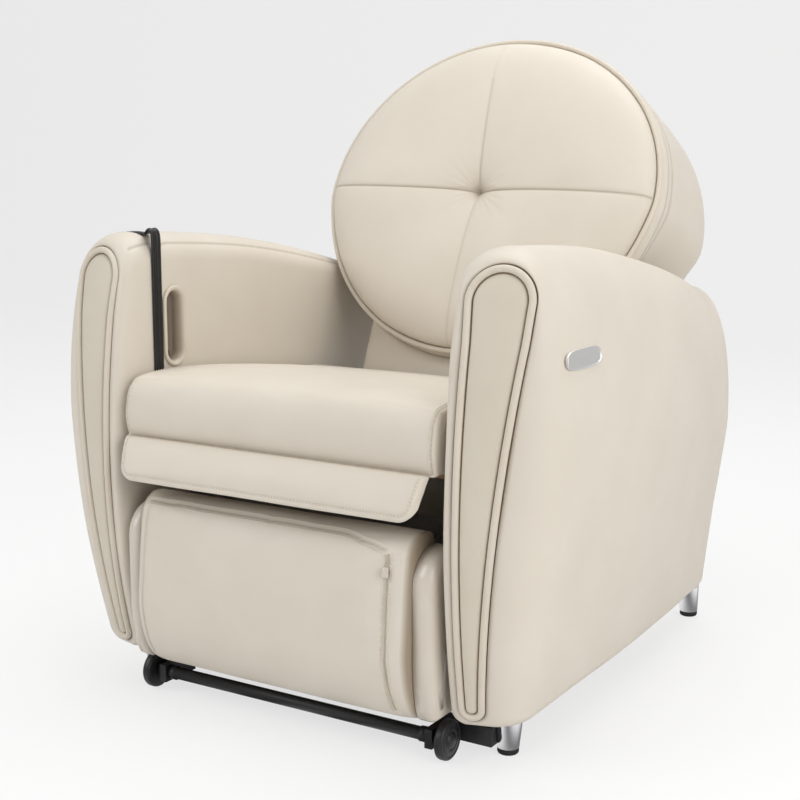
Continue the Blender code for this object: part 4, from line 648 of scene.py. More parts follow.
def on_surface(made, points, towards, lift=0.0):
    """Points cast along a direction onto a piece."""
    cast = Vector(towards).normalized()

    def find(tree, point):
        return tree.ray_cast(point - cast * CAST_START, cast, CAST_REACH)

    return surface_points(made, points, find, lift)


def settled(made, points, lift=0.0):
    """Points moved to the nearest place of a piece's surface."""
    return surface_points(made, points, lambda tree, point: tree.find_nearest(point, SETTLE_REACH), lift)


# Arms

def crest_z(y):
    return ARM_TOP_Z - CREST_FALL * (np.maximum(y, 0.0) / CREST_RUN) ** 2


def outer_x(z, y):
    """Outer face at a height of the arm's front, drawn in towards the rear."""
    tuck = ARM_TUCK * unit((y - TUCK_START) / TUCK_RUN) ** 2
    tuck *= 0.55 + 0.45 * unit((z - ARM_FLOOR_Z) / 0.20)
    if z < ARM_WAIST_Z:
        return ARM_OUTER_X - ARM_FLARE * ((ARM_WAIST_Z - z) / FLARE_RUN) ** 1.2 - tuck
    rise = min(1.0, (z - ARM_WAIST_Z) / (ARM_TOP_Z - ARM_WAIST_Z)) ** OUTER_ROUND
    return ARM_CREST_X + (ARM_OUTER_X - tuck - ARM_CREST_X) * (1 - rise) ** (1 / OUTER_ROUND)


def inner_x(z):
    rise = min(1.0, max(0.0, (z - ARM_TOP_Z + INNER_EDGE) / INNER_EDGE)) ** INNER_ROUND
    return ARM_CREST_X - (ARM_CREST_X - ARM_INNER_X) * (1 - rise) ** (1 / INNER_ROUND)


def arm_levels():
    """Shares of the arm's height with the hem's inset, from the floor to just under the crest."""
    height = ARM_TOP_Z - ARM_FLOOR_Z
    turns = arc(0, 90, 7)
    rows = [(ARM_HEM * (1 - math.cos(turn)) / height, ARM_HEM * (1 - math.sin(turn))) for turn in turns]
    start = rows[-1][0]
    rows += [(start + (0.9 - start) * step / 26, 0.0) for step in range(1, 27)]
    rows += [(1 - 0.1 * (1 - step / 20) ** 2, 0.0) for step in range(1, 20)]
    return rows


ARM_LEVELS = arm_levels()


def arm_section(y):
    """Section of the right arm: up its inner face, over the crest, down its outer face."""
    inner, outer = [], []
    top = crest_z(y)
    for level, inset in ARM_LEVELS:
        front_z = ARM_FLOOR_Z + level * (ARM_TOP_Z - ARM_FLOOR_Z)
        z = ARM_FLOOR_Z + level * (top - ARM_FLOOR_Z)
        inner.append((inner_x(front_z) + inset, z))
        outer.append((outer_x(front_z, y) - inset, z))
    return np.array(inner + [(ARM_CREST_X, top)] + outer[::-1])


def front_middle_x(z):
    return FRONT_FOOT_X + FRONT_DRIFT * unit((z - FRONT_FOOT_Z) / DRIFT_RUN)


def front_half_width(z):
    if z > FRONT_HIGH:
        return math.sqrt(max(0.0, FRONT_WIDE ** 2 - (z - FRONT_HIGH) ** 2))
    if z < FRONT_LOW:
        return math.sqrt(max(0.0, FRONT_SLIM ** 2 - (z - FRONT_LOW) ** 2))
    return FRONT_SLIM + (FRONT_WIDE - FRONT_SLIM) * ((z - FRONT_LOW) / (FRONT_HIGH - FRONT_LOW)) ** 1.15


def front_point(z, across, behind):
    """Point of the right arm's front, at a distance across it and behind the panel's face."""
    run = BOW_RUN if z > BOW_Z else BOW_Z
    y = -FRONT_BOW * (1 - ((z - BOW_Z) / run) ** 2)
    return np.array((front_middle_x(z) + across, y + FRONT_TURN * across + behind, z))


def teardrop(inset, shrink=1.0):
    """Loop of the arm front from its top, as (height, across), shrunk towards its middle line."""
    half = []
    for turn in arc(90, 0, 14):
        radius = (FRONT_WIDE - inset) * shrink
        half.append((FRONT_HIGH + radius * math.sin(turn), radius * math.cos(turn)))
    for z in np.linspace(FRONT_HIGH, FRONT_LOW, 42)[1:-1]:
        half.append((z, (front_half_width(z) - inset) * shrink))
    for turn in arc(0, -90, 10):
        radius = (FRONT_SLIM - inset) * shrink
        half.append((FRONT_LOW + radius * math.sin(turn), radius * math.cos(turn)))
    return half + [(z, -across) for z, across in half[-2:0:-1]]


def front_loop(behind, inset, shrink=1.0):
    """Points of the right arm's front loop, at a distance behind the panel's face."""
    return np.array([front_point(z, across, behind) for z, across in teardrop(inset, shrink)])


def arm_rings():
    """Rings of the right arm, from its front face to its rear end."""
    body = arm_section(0.0)
    count = len(body)
    face = []
    for index, (_, z) in enumerate(body):
        level = (z - ARM_FLOOR_Z) / (ARM_TOP_Z - ARM_FLOOR_Z)
        front_z = FRONT_FOOT_Z + level * FRONT_HEIGHT
        reach = max(front_half_width(front_z), 0.004) if index != count // 2 else 0.0
        face.append(front_point(front_z, -reach if index < count // 2 else reach, PANEL_DEPTH))
    face = np.array(face)
    lip = face - np.array((0.0, PANEL_LIP, 0.0))
    rings = [face, lip]
    level = (body[:, 1] - ARM_FLOOR_Z) / (ARM_TOP_Z - ARM_FLOOR_Z)
    square = np.where(np.arange(count) < count // 2, 0.5 + 0.5 * unit((level - 0.8) / 0.2), 1.0)
    for turn in arc(0, 90, 15)[1:]:
        spread = math.sin(turn) ** square
        y = lip[:, 1] + (ARM_BODY_START - lip[:, 1]) * (1 - max(0.0, math.cos(turn)) ** square)
        x = lip[:, 0] + (body[:, 0] - lip[:, 0]) * spread
        z = lip[:, 2] + (body[:, 1] - lip[:, 2]) * spread
        rings.append(np.stack((x, y, z), axis=1))
    for y in np.linspace(ARM_BODY_START, ARM_BODY_END, 58)[1:]:
        section = arm_section(y)
        rings.append(np.column_stack((section[:, 0], np.full(count, y), section[:, 1])))
    last = rings[-1]
    middle = (ARM_INNER_X + ARM_OUTER_X - ARM_TUCK) / 2
    for turn in arc(0, 90, 15)[1:]:
        narrow = 1 - 0.75 * (1 - math.cos(turn))
        low = 1 - 0.22 * (1 - math.cos(turn))
        y = np.full(count, ARM_BODY_END + ARM_REAR_ROUND * math.sin(turn))
        rings.append(np.stack((middle + (last[:, 0] - middle) * narrow, y,
                               ARM_FLOOR_Z + (last[:, 2] - ARM_FLOOR_Z) * low), axis=1))
    return np.array(rings)


def stadium(grow):
    """Pocket outline as (y, z) points."""
    radius = POCKET_RADIUS + grow
    turns = circle(72)
    shift = np.where(np.sin(turns) >= 0, POCKET_STRAIGHT, -POCKET_STRAIGHT)
    return np.stack((POCKET_Y + radius * np.cos(turns), POCKET_Z + radius * np.sin(turns) + shift), axis=1)


def at_x(x, loop):
    """Flat (y, z) loop as points at one x."""
    return np.column_stack((np.full(len(loop), x), loop))


def pocket_rings(rows):
    return [at_x(x - ARM_INNER_X, stadium(grow)) for grow, x in rows]


def make_arm(name, side):
    rings = arm_rings()
    mirror = np.array((side, 1.0, 1.0))
    cover = skin(f"{name}_arm_hide", rings * mirror)
    handmade(cover, 0.0011)
    column = next(index for index, (level, _) in enumerate(ARM_LEVELS) if level > 0.972)
    seam = (rings[:, column] * mirror)[7 if side < 0 else 17:-8]
    seam = settled(cover, evenly(seam, 0.004))
    # painted shade along the crest seam
    press_seam(cover, seam, 0.0014, 0.0055, 0.55)
    hem = front_loop(PANEL_DEPTH, 0.0) * mirror
    # painted shade round the front panel's edge, with no dip
    press_seam(cover, np.vstack((hem, hem[:1])), 0.0, 0.005, 0.3)
    if side < 0:
        points = points_of(cover)
        pull = np.exp(-((points[:, 1] - STRAP_Y - STRAP_DRIFT) / 0.014) ** 4)
        pull *= unit((points[:, 2] - 0.64) / 0.05)
        set_points(cover, points - normals_of(cover) * (0.0042 * pull)[:, None])
        carved(cover, skin("pocket_hole", pocket_rings(((0.0008, -0.0255), (0.0008, 0.03)))))
    hide_piece(cover, "chair", [f"{name}_arm_cover"])

    rows = ((1.0, PANEL_SEAT), (1.0, 0.0062), (0.985, 0.0036), (0.95, 0.0016), (0.86, 0.0), (0.66, -0.0014),
            (0.4, -0.0021), (0.16, -0.0024), (0.02, -0.0025))
    panel_rings = [front_loop(behind, PANEL_INSET, shrink) * mirror for shrink, behind in rows]
    panel = skin(f"{name}_arm_panel", panel_rings, ends=False)
    close_ladder(panel, len(panel_rings[0]), len(panel_rings))
    points = points_of(panel)
    # painted shade on the panel along its seam with the piping
    mark_crease(panel, 0.9 * np.exp(-(near_path(points, panel_rings[1]) / 0.0025) ** 2))
    dress(panel, "chair", PANEL_SHADED_HIDE, "cream_leather", [f"{name}_arm_front_panel"])

    welt = tube(f"{name}_arm_piping", front_loop(PANEL_SEAT - 0.0052, 0.0066) * mirror, 0.0050, 14)
    dress(welt, "chair", HIDE_PIPING, "cream_leather", [f"{name}_arm_welt"])
    # painted shadow lines: thin dark tubes along the outer and inner edges of the front piping
    crease = [tube("line", front_loop(behind, inset) * mirror, 0.0008, 8)
              for inset, behind in ((0.0008, 0.0052), (0.0121, 0.0042))]
    dress(joined(f"{name}_arm_painted_shadow_lines", crease), "chair", SHADOW_LINE_HIDE, "cream_leather")
    return cover


def close_ladder(made, count, rows):
    """Close both ends of a mirrored loop rung by rung, so that a long thin end stays even."""
    half = count // 2
    with edited(made) as work:
        work.verts.ensure_lookup_table()
        for start in (0, (rows - 1) * count):
            loop = [work.verts[start + index] for index in range(count)]
            work.faces.new((loop[0], loop[1], loop[-1]))
            for index in range(1, half - 1):
                work.faces.new((loop[index], loop[index + 1], loop[-index - 1], loop[-index]))
            work.faces.new((loop[half - 1], loop[half], loop[half + 1]))
        bmesh.ops.recalc_face_normals(work, faces=work.faces)


def joined(name, pieces):
    """One object from several that share a finish."""
    work = bmesh.new()
    for made in pieces:
        work.from_mesh(made.data)
        bpy.data.objects.remove(made, do_unlink=True)
    data = bpy.data.meshes.new(name)
    work.to_mesh(data)
    work.free()
    data.shade_smooth()
    return linked(name, data)


def make_pocket():
    rows = ((-0.0006, -0.0238), (-0.0006, -0.004), (-0.0004, 0.0004), (0.0058, 0.0005), (0.0066, 0.0012),
            (0.0064, 0.0026), (0.0052, 0.0039), (0.0034, 0.0045), (0.0014, 0.0041), (-0.0004, 0.0028),
            (-0.0018, 0.0004), (-0.0026, -0.004), (-0.0030, -0.016), (-0.0034, -0.0192), (-0.0052, -0.0208),
            (-0.0080, -0.0210))
    cup = skin("pocket_moulding", pocket_rings(rows))
    # painted shade, deeper into the pocket's recess
    mark_crease(cup, (-ARM_INNER_X - points_of(cup)[:, 0]) / 0.02)
    dress(cup, "chair", POCKET, "pocket_plastic", ["pocket_cup"])


def make_strap(cover):
    """Black belt over the left arm: two round ribs with a groove between them.

    It stands clear of the arm's inner top edge, then dips into the hide of the crest.
    """
    tree = BVHTree.FromObject(cover, bpy.context.evaluated_depsgraph_get())
    own = np.array(OWN.translation)
    section = arm_section(STRAP_Y + STRAP_DRIFT)
    start = next(index for index, (x, _) in enumerate(section) if x > 0.326)
    x, z = section[start:-4].T
    over = evenly(np.column_stack((-x, np.zeros(len(x)), z)), 0.008)
    over[:, 1] = STRAP_Y + STRAP_DRIFT * unit(1.3 - np.linspace(0, 2.2, len(over)))
    for point in over:
        hit, normal, _, _ = tree.find_nearest(Vector(point + own))
        point[0], point[2] = hit.x + 0.0006 * normal.x, hit.z + 0.0006 * normal.z
    hook = curve_through([(x, STRAP_Y, z) for x, z in STRAP_RISE], 6)
    hook[:, 1] += STRAP_DRIFT * unit((-0.281 - hook[:, 0]) / 0.03)
    path = np.vstack((hook, over))
    along = np.gradient(path, axis=0)
    away = np.column_stack((along[:, 2], np.zeros(len(path)), -along[:, 0]))
    away /= np.linalg.norm(away, axis=1)[:, None]
    across = np.array((-1.0, -0.96, -0.8, -0.5, -0.22, -0.06, 0.06, 0.22, 0.5, 0.8, 0.96, 1.0))
    lift = np.array((0.4, 1.5, 2.5, 2.9, 2.4, 1.0, 1.0, 2.4, 2.9, 2.5, 1.5, 0.4)) * 0.001
    rings = []
    for point, out in zip(path, away):
        top = [point + np.array((0, share * STRAP_HALF, 0)) + out * rise for share, rise in zip(across, lift)]
        under = [point + np.array((0, share * STRAP_HALF, 0)) for share in (0.98, 0.0, -0.98)]
        rings.append(np.array(top + under))
    strap = skin("arm_belt", rings)
    dress(strap, "chair", STRAP_BLACK, "black_plastic", ["arm_strap"])


def make_badge():
    """Bare silver plate with a raised rim, on the right arm's outer face."""
    low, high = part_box("badge_plate")
    turns = circle(96)
    wide, tall = np.cos(turns), np.sin(turns)
    rings = []
    for share, rise in ((1.0, -0.0018), (1.0, 0.0006), (0.965, 0.0018), (0.93, 0.0022), (0.885, 0.0019),
                        (0.87, 0.0011), (0.85, 0.0008), (0.5, 0.0011), (0.05, 0.0012)):
        edge = BADGE_HALF_HEIGHT * (1 - share)
        along = (BADGE_HALF_LENGTH - edge) * np.sign(wide) * np.abs(wide) ** 0.5
        up = (BADGE_HALF_HEIGHT - edge) * np.sign(tall) * np.abs(tall) ** 0.72
        rings.append(at_x(rise, np.column_stack((along, up))))
    plate = skin("badge_plate_bare", rings)
    top_x = outer_face_x(BADGE_Z + BADGE_HALF_HEIGHT, BADGE_Y)
    lean = math.atan2(top_x - outer_face_x(BADGE_Z - BADGE_HALF_HEIGHT, BADGE_Y), 2 * BADGE_HALF_HEIGHT)
    face = outer_face_x(BADGE_Z, BADGE_Y) + OWN.translation.x
    place = Matrix.Translation((face, ((low + high) / 2).y, BADGE_Z)) @ Matrix.Rotation(lean, 4, "Y")
    dress(plate, "chair", SILVER, "silver", ["badge_plate"], place=place)


def outer_face_x(z, y):
    level = (z - ARM_FLOOR_Z) / (crest_z(y) - ARM_FLOOR_Z)
    return outer_x(ARM_FLOOR_Z + level * (ARM_TOP_Z - ARM_FLOOR_Z), y)


# Seat

def seat_profile(inset, crown):
    """Side outline of the seat cushion as (y, z), from its rear bottom round its front to its rear top."""
    front, rear = -0.048 + inset, 0.463 - inset
    low, top, back_top = 0.4131, 0.503 - inset + crown, 0.460 - inset
    points = [(rear, low + 0.002), (rear - 0.12, low), (front + 0.14, low), (front + 0.01, low),
              (front + 0.002, low + 0.004), (front - 0.0035, low + 0.03), (front - 0.001, top - 0.036)]
    for turn in np.radians((25, 50, 75)):
        points.append((front + 0.034 * (1 - math.cos(turn)), top - 0.034 * (1 - math.sin(turn))))
    points += [(front + 0.07, top + 0.001), (front + 0.16, top - 0.003), (0.25, (top + back_top) / 2 + 0.004),
               (rear - 0.09, back_top + 0.006), (rear - 0.015, back_top), (rear, back_top - 0.014)]
    return side_curve(points, 9)


def make_seat():
    rings = []
    for x in rounded_stations(SEAT_HALF, SEAT_EDGE, 61, 9):
        inset = SEAT_EDGE * quarter_round(max(0.0, abs(x) - (SEAT_HALF - SEAT_EDGE)) / SEAT_EDGE)
        ring = seat_profile(inset, 0.006 * (1 - (x / SEAT_HALF) ** 4))
        ring[:, 0] = x
        rings.append(ring)
    seat = skin("seat_hide", rings)
    points = points_of(seat)
    held = (points[:, 2] < 0.417) | (points[:, 1] > 0.45) | (np.abs(points[:, 0]) > SEAT_HALF - SEAT_EDGE)
    swell(seat, held, 3.0, 0.005)
    smoothed(seat, 1)
    handmade(seat, 0.0009)
    lines, threads = [], []
    for side in (-1, 1):
        profile = seat_profile(0.0, 0.0)[9 * 4:9 * 13]
        for x, kept in ((0.2662, lines), (0.2615, threads)):
            path = profile.copy()
            path[:, 0] = side * x
            kept.append(settled(seat, evenly(path, 0.003)))
    # painted shade in the two side seams
    for path in lines:
        press_seam(seat, path, 0.0014, 0.0035, 0.75)
    # painted shadow line along the seat's lower front edge, over the flap
    under = np.linspace((-0.262, -0.0465, 0.4150), (0.262, -0.0465, 0.4150), 90)
    press_seam(seat, settled(seat, under), 0.0, 0.006, 0.8)
    threads = [settled(seat, path, 0.0004) for path in threads]
    hide_piece(seat, "chair", ["seat_cushion"])
    stitched("seat_stitches", threads, "chair")


def flap_section(low, thick):
    """Side outline of the flap in its own plane as (depth, height), above a given lower edge."""
    points = [(-0.0006, low + 0.014), (-0.0006, -0.014), (-0.0012, -0.003), (-0.45 * thick, -0.0004),
              (-0.86 * thick, -0.0038), (-thick, -0.012), (-1.07 * thick, 0.5 * low), (-thick, low + 0.0125),
              (-0.86 * thick, low + 0.0042), (-0.5 * thick, low), (-0.0014, low + 0.0032)]
    return side_curve(points, 5)


def make_flap():
    half, depth, corner, edge = FLAP_HALF, FLAP_DEPTH, FLAP_CORNER, FLAP_EDGE
    turns = arc(0, 90, 9)[1:]
    bend = np.concatenate((np.linspace(half - corner, half - edge, 9), half - edge + edge * np.sin(turns)))
    stations = np.concatenate((-bend[::-1], np.linspace(-1, 1, 75)[1:-1] * (half - corner), bend))
    rings = []
    for x in stations:
        low = -depth + corner * quarter_round(max(0.0, (abs(x) - half + corner) / corner))
        thinned = max(0.0, (abs(x) - half + edge) / edge)
        thick = 0.0022 + 0.0125 * math.sqrt(max(0.0, 1 - thinned ** 2))
        ring = flap_section(low, thick)
        ring[:, 0] = x * (1 + FLAP_FLARE * ring[:, 2] / depth)
        rings.append(ring)
    flap = skin("seat_flap_hide", rings)
    points = points_of(flap)
    swell(flap, (points[:, 1] > -0.004) | (np.abs(points[:, 0]) > half - 2 * edge), 1.5, 0.003)
    handmade(flap, 0.0006)
    bend = corner - FLAP_BORDER
    right = [(half - FLAP_BORDER, -0.004)]
    right += [(half - corner + bend * math.cos(turn), corner - depth + bend * math.sin(turn))
              for turn in arc(0, -90, 10)]
    loop = right + [(-x, z) for x, z in right[::-1]]
    line = evenly([(x * (1 + FLAP_FLARE * z / depth), -0.03, z) for x, z in loop], 0.003)
    seam = on_surface(flap, line, (0, 1, 0))
    # painted shade in the border seam
    press_seam(flap, seam, 0.0012, 0.0032, 0.5)
    threads = [settled(flap, seam, 0.0003)]
    hide_piece(flap, "seat_flap", ["seat_flap"], OWN @ FLAP_PLANE)
    stitched("flap_stitches", threads, "seat_flap", OWN @ FLAP_PLANE, 0.0054)


# Back

def ellipse(turns, grow, depth, narrow=DISC_NARROW, scale=1.0):
    """Ring of the leaning plane, slimmer in its lower half by a share."""
    low = np.maximum(0.0, -np.sin(turns))
    slim = 1 - narrow * low ** 0.6 * (1 - bell(low, 0.12))
    x = (DISC_HALF[0] * scale + grow) * np.cos(turns) * slim
    z = (DISC_HALF[1] * scale + grow) * np.sin(turns)
    return np.column_stack((x, np.broadcast_to(depth, turns.shape), z))


def seam_gaps(x, z):
    """Distance from the cushion's level seam and from its upright seam, which both bow a little."""
    level = TUFT_RISE + 0.009 * unit(-x / 0.3) ** 2
    upright = -0.012 * unit((z - TUFT_RISE) / 0.22) ** 1.3
    upright = upright - 0.006 * unit((TUFT_RISE - z) / 0.22)
    return np.abs(z - level), np.abs(x - upright)


def make_back_cushion():
    quarter = np.arange(48) / 48
    crowd = quarter - 0.9 * np.sin(2 * math.pi * quarter) / (2 * math.pi)
    turns = np.concatenate([(index + crowd) * math.pi / 2 for index in range(4)])
    shares = np.concatenate((np.linspace(0.012, 0.16, 16), np.linspace(0.16, 0.86, 34)[1:],
                             1 - 0.14 * (1 - np.linspace(0, 1, 16)[1:]) ** 2))
    rings = []
    for share in shares:
        ring = ellipse(turns, -0.0056 * share, 0.0, scale=share)
        x, z = ring[:, 0], ring[:, 2] + TUFT_RISE * (1 - share)
        reach = np.hypot(x, z - TUFT_RISE)
        dome = DISC_CROWN * (1 - min(1.0, share) ** 3.2) ** 0.4
        tuft = 0.011 * np.exp(-reach / 0.016) + 0.0075 * np.exp(-(reach / 0.075) ** 1.5)
        level = np.exp(-reach / 0.09)
        fade = unit((1 - share) / 0.12)
        flat_gap, tall_gap = seam_gaps(x, z)
        along = ((0.0016 + 0.0030 * level) * bell(flat_gap, 0.0042)
                 + (0.0008 + 0.0028 * level) * bell(flat_gap, 0.022))
        soft_top = np.where(z > 0.17, unit((0.235 - z) / 0.065), 1.0)
        upright = ((0.0010 + 0.0030 * level) * bell(tall_gap, 0.0042)
                   + (0.0006 + 0.0026 * level) * bell(tall_gap, 0.022))
        pleats = 0.0004 * np.exp(-reach / 0.045) * np.sin(turns * 22 + 0.7)
        pleats *= unit(reach / 0.02)
        depth = -(dome - tuft - (along + upright * soft_top) * fade + pleats)
        rings.append(np.column_stack((x, depth, z)))
    for grow, depth in ((-0.0066, 0.0015), (-0.0060, 0.0052), (0.0006, 0.0075), (0.0036, 0.0145),
                        (0.0052, 0.022), (0.0058, 0.0274), (-0.02, 0.0279)):
        rings.append(ellipse(turns, grow, depth))
    cushion = skin("back_hide", rings)
    points = points_of(cushion)
    seam = (np.minimum(*seam_gaps(points[:, 0], points[:, 2])) < 0.004) & (points[:, 1] < 0)
    held = (points[:, 1] > -0.006) | seam | (np.hypot(points[:, 0], points[:, 2] - TUFT_RISE) < 0.02)
    swell(cushion, held, 2.5, 0.005)
    handmade(cushion, 0.0008)
    points = points_of(cushion)
    # painted shade in the seams and round the tuft, on the front only
    front = points[:, 1] < -0.004
    flat_gap, tall_gap = seam_gaps(points[:, 0], points[:, 2])
    across = bell(flat_gap, 0.0016)
    faint = np.select((points[:, 2] > 0.2, points[:, 2] > TUFT_RISE), (0.12, 0.42), 0.25)
    upright = bell(tall_gap, 0.0016) * faint
    tuft = np.exp(-np.hypot(points[:, 0], points[:, 2] - TUFT_RISE) / 0.009)
    mark_crease(cushion, np.where(front, np.maximum.reduce((0.8 * across, upright, tuft)), 0.0))
    hide_piece(cushion, "backrest", ["back_cushion"], OWN @ BACK_PLANE)

    turns = circle(200)
    welt = tube("back_piping", ellipse(turns, 0.0, 0.0), 0.0046, 14)
    dress(welt, "backrest", HIDE_PIPING, "cream_leather", ["back_welt"], place=OWN @ BACK_PLANE)


def make_drum():
    """Deep upholstered drum behind the back cushion."""
    path = curve_through(DRUM_ROWS, 7)
    turns = circle(160)
    rings = [ellipse(turns, -0.02, 0.0284), ellipse(turns, -0.004, 0.0283)]
    rings += [ellipse(turns, grow, depth, narrow) for grow, depth, narrow in path]
    drum = skin("back_drum_hide", rings)
    handmade(drum, 0.0012)
    # both drum seams are drawn in, with painted shade along them
    for grow, depth, narrow in ((0.0062, 0.0445, 0.08), (-0.06, 0.288, 0.07)):
        ring = settled(drum, ellipse(turns, grow, depth, narrow))
        press_seam(drum, np.vstack((ring, ring[:1])), 0.0016, 0.006, 0.5)
    hide_piece(drum, "backrest", ["back_shell"], OWN @ BACK_PLANE)


def make_lumbar_pad():
    """Low pad under the back cushion, tucked up behind the cushion's edge."""
    rings = []
    for x in rounded_stations(LUMBAR_HALF, LUMBAR_EDGE, 41, 9):
        thin = 0.006 * quarter_round(max(0.0, (abs(x) - LUMBAR_HALF + LUMBAR_EDGE) / LUMBAR_EDGE))
        rim = -0.294 * math.sqrt(1 - (x / 0.312) ** 2)
        crown = 0.007 * (1 - (x / LUMBAR_HALF) ** 6)
        front = 0.0288 + thin
        outline = [(0.0448 - thin, rim + 0.004), (0.0450 - thin, -0.33), (0.0445 - thin, -0.358),
                   (0.040, -0.3622), (0.034, -0.3605), (0.0305 + thin - 0.6 * crown, -0.352),
                   (front - crown, -0.335), (front - crown, 0.5 * rim - 0.166),
                   (front - 0.5 * crown, rim - 0.008), (0.0300 + thin, rim + 0.004), (0.036, rim + 0.009)]
        rings.append(side_curve(outline, 5, x))
    pad = skin("lumbar_hide", rings)
    handmade(pad, 0.0006)
    hide_piece(pad, "backrest", ["lumbar_pad"], OWN @ BACK_PLANE)


def make_rear_cover():
    """Padded copy of its CAD solid: remeshed, swollen a little and evened out."""
    data = frame["nodes"]["rear_cover"].data.copy()
    data.materials.clear()
    pad = linked("rear_cover_hide", data)
    face_outwards(pad)
    step = pad.modifiers.new("voxels", "REMESH")
    step.mode = "VOXEL"
    step.voxel_size = 0.005
    baked(pad)
    smoothed(pad, 6)
    swell(pad, np.zeros(len(pad.data.vertices), bool), 1.0, 0.001)
    smoothed(pad, 2)
    low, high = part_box("rear_cover")
    left, right, top, base = low.x + 0.014, high.x - 0.014, high.z - 0.012, low.z + 0.012
    loop = ((left, top), (right, top), (right, base), (left, base), (left, top))
    border = on_surface(pad, evenly([(x, high.y, z) for x, z in loop], 0.003), (0, -1, 0), 0.0003)
    hide_piece(pad, "chair", ["rear_cover"], Matrix())
    stitched("rear_cover_stitches", [border], "chair", Matrix())


# Leg rest

def leg_profile(fall, crown):
    """Side outline of the leg rest pad as (y, z), from its rear top down its back and up its front."""
    points = [(0.004, 0.322), (0.004, 0.25), (0.004, 0.13), (0.003, 0.066), (-0.008, 0.0622),
              (-0.022 + fall, 0.0622)]
    for turn in np.radians((75, 55, 35, 16)):
        points.append((-0.079 + 0.054 * (1 - math.cos(turn)) + fall, 0.17 - 0.108 * math.sin(turn)))
    points += [(-0.079 + fall - crown * 0.4, 0.17), (-0.0745 + fall - crown, 0.215),
               (-0.0705 + fall - crown, 0.255), (-0.066 + fall - crown * 0.4, 0.290)]
    for turn in np.radians((25, 48, 70)):
        points.append((LEG_ROUND_Y - 0.036 * math.cos(turn) + fall, LEG_ROUND_Z + 0.036 * math.sin(turn)))
    points += [(-0.028 + fall * 0.5, 0.3275), (-0.006, 0.327)]
    return side_curve(points, 7)


def leg_front_path(x_top, x_bottom, high, low):
    """Line down the front of the pad between two heights."""
    share = np.linspace(0, 1, 40)
    x = x_top + (x_bottom - x_top) * share ** 2
    return np.column_stack((x, np.full(40, -0.1), high + (low - high) * share))


def make_leg_pad():
    rings = []
    for x in rounded_stations(LEG_HALF, LEG_EDGE, 45, 15):
        fall = 0.016 * quarter_round(max(0.0, (abs(x) - LEG_HALF + LEG_EDGE) / LEG_EDGE))
        ring = leg_profile(fall, 0.005 * (1 - (x / LEG_HALF) ** 4))
        ring[:, 0] = x
        rings.append(ring)
    pad = skin("leg_rest_hide", rings)
    points = points_of(pad)
    held = (points[:, 1] > -0.012) | (points[:, 2] < 0.064) | (np.abs(points[:, 0]) > 0.233)
    swell(pad, held, 3.0, 0.005)
    smoothed(pad, 2)
    handmade(pad, 0.0009)
    points = points_of(pad)
    flat = -0.066 - (0.290 - points[:, 2]) * 0.013 / 0.12 + 0.0020
    beside = np.exp(-((points[:, 0] - ZIP_X) / 0.018) ** 4) * (points[:, 2] > 0.15) * (points[:, 2] < 0.300)
    points[:, 1] += np.maximum(0.0, flat - points[:, 1]) * beside * (points[:, 1] < -0.04)
    set_points(pad, points)
    x = np.linspace(-0.226, 0.2, 90)
    turn = np.radians(125 + 25 * unit((x - 0.13) / 0.07))
    top_line = np.column_stack((x, LEG_ROUND_Y + 0.05 * np.cos(turn), LEG_ROUND_Z + 0.05 * np.sin(turn)))
    top_seam = settled(pad, top_line)
    tail = leg_front_path(0.2068, 0.2125, 0.302, 0.080)
    zip_line = on_surface(pad, tail, (0, 1, 0))
    left_line = on_surface(pad, leg_front_path(-0.222, -0.224, 0.312, 0.082), (0, 1, 0))
    branch = np.linspace((0.075, -0.052, 0.318), (0.075, -0.012, 0.33), 14)
    branch = settled(pad, branch)
    points = points_of(pad)
    # painted shade at the pad's ends, where it meets the side mouldings, and in its seams and zip line below
    mark_crease(pad, (np.abs(points[:, 0]) - 0.231) / 0.008)
    for path, depth, width, shade in ((top_seam, 0.0018, 0.005, 0.7), (zip_line, 0.0026, 0.0045, 0.4),
                                      (left_line, 0.0014, 0.005, 0.7), (branch, 0.0014, 0.004, 0.7)):
        press_seam(pad, path, depth, width, shade)
    sides = [settled(pad, path + np.array(shift) * side, 0.0004) for path, shift in
             ((zip_line, (0.0055, 0, 0)), (top_seam, (0, 0.0045, 0.005))) for side in (-1, 1)]
    tape_path = settled(pad, zip_line, 0.0006)
    hide_piece(pad, "leg_rest", ["leg_rest_pad"])
    stitched("leg_rest_stitches", sides, "leg_rest", pitch=0.005)
    beads("zip_teeth", [tape_path], 0.0019, 0.0006, 0.0017, POCKET, "leg_rest", "cream_leather")


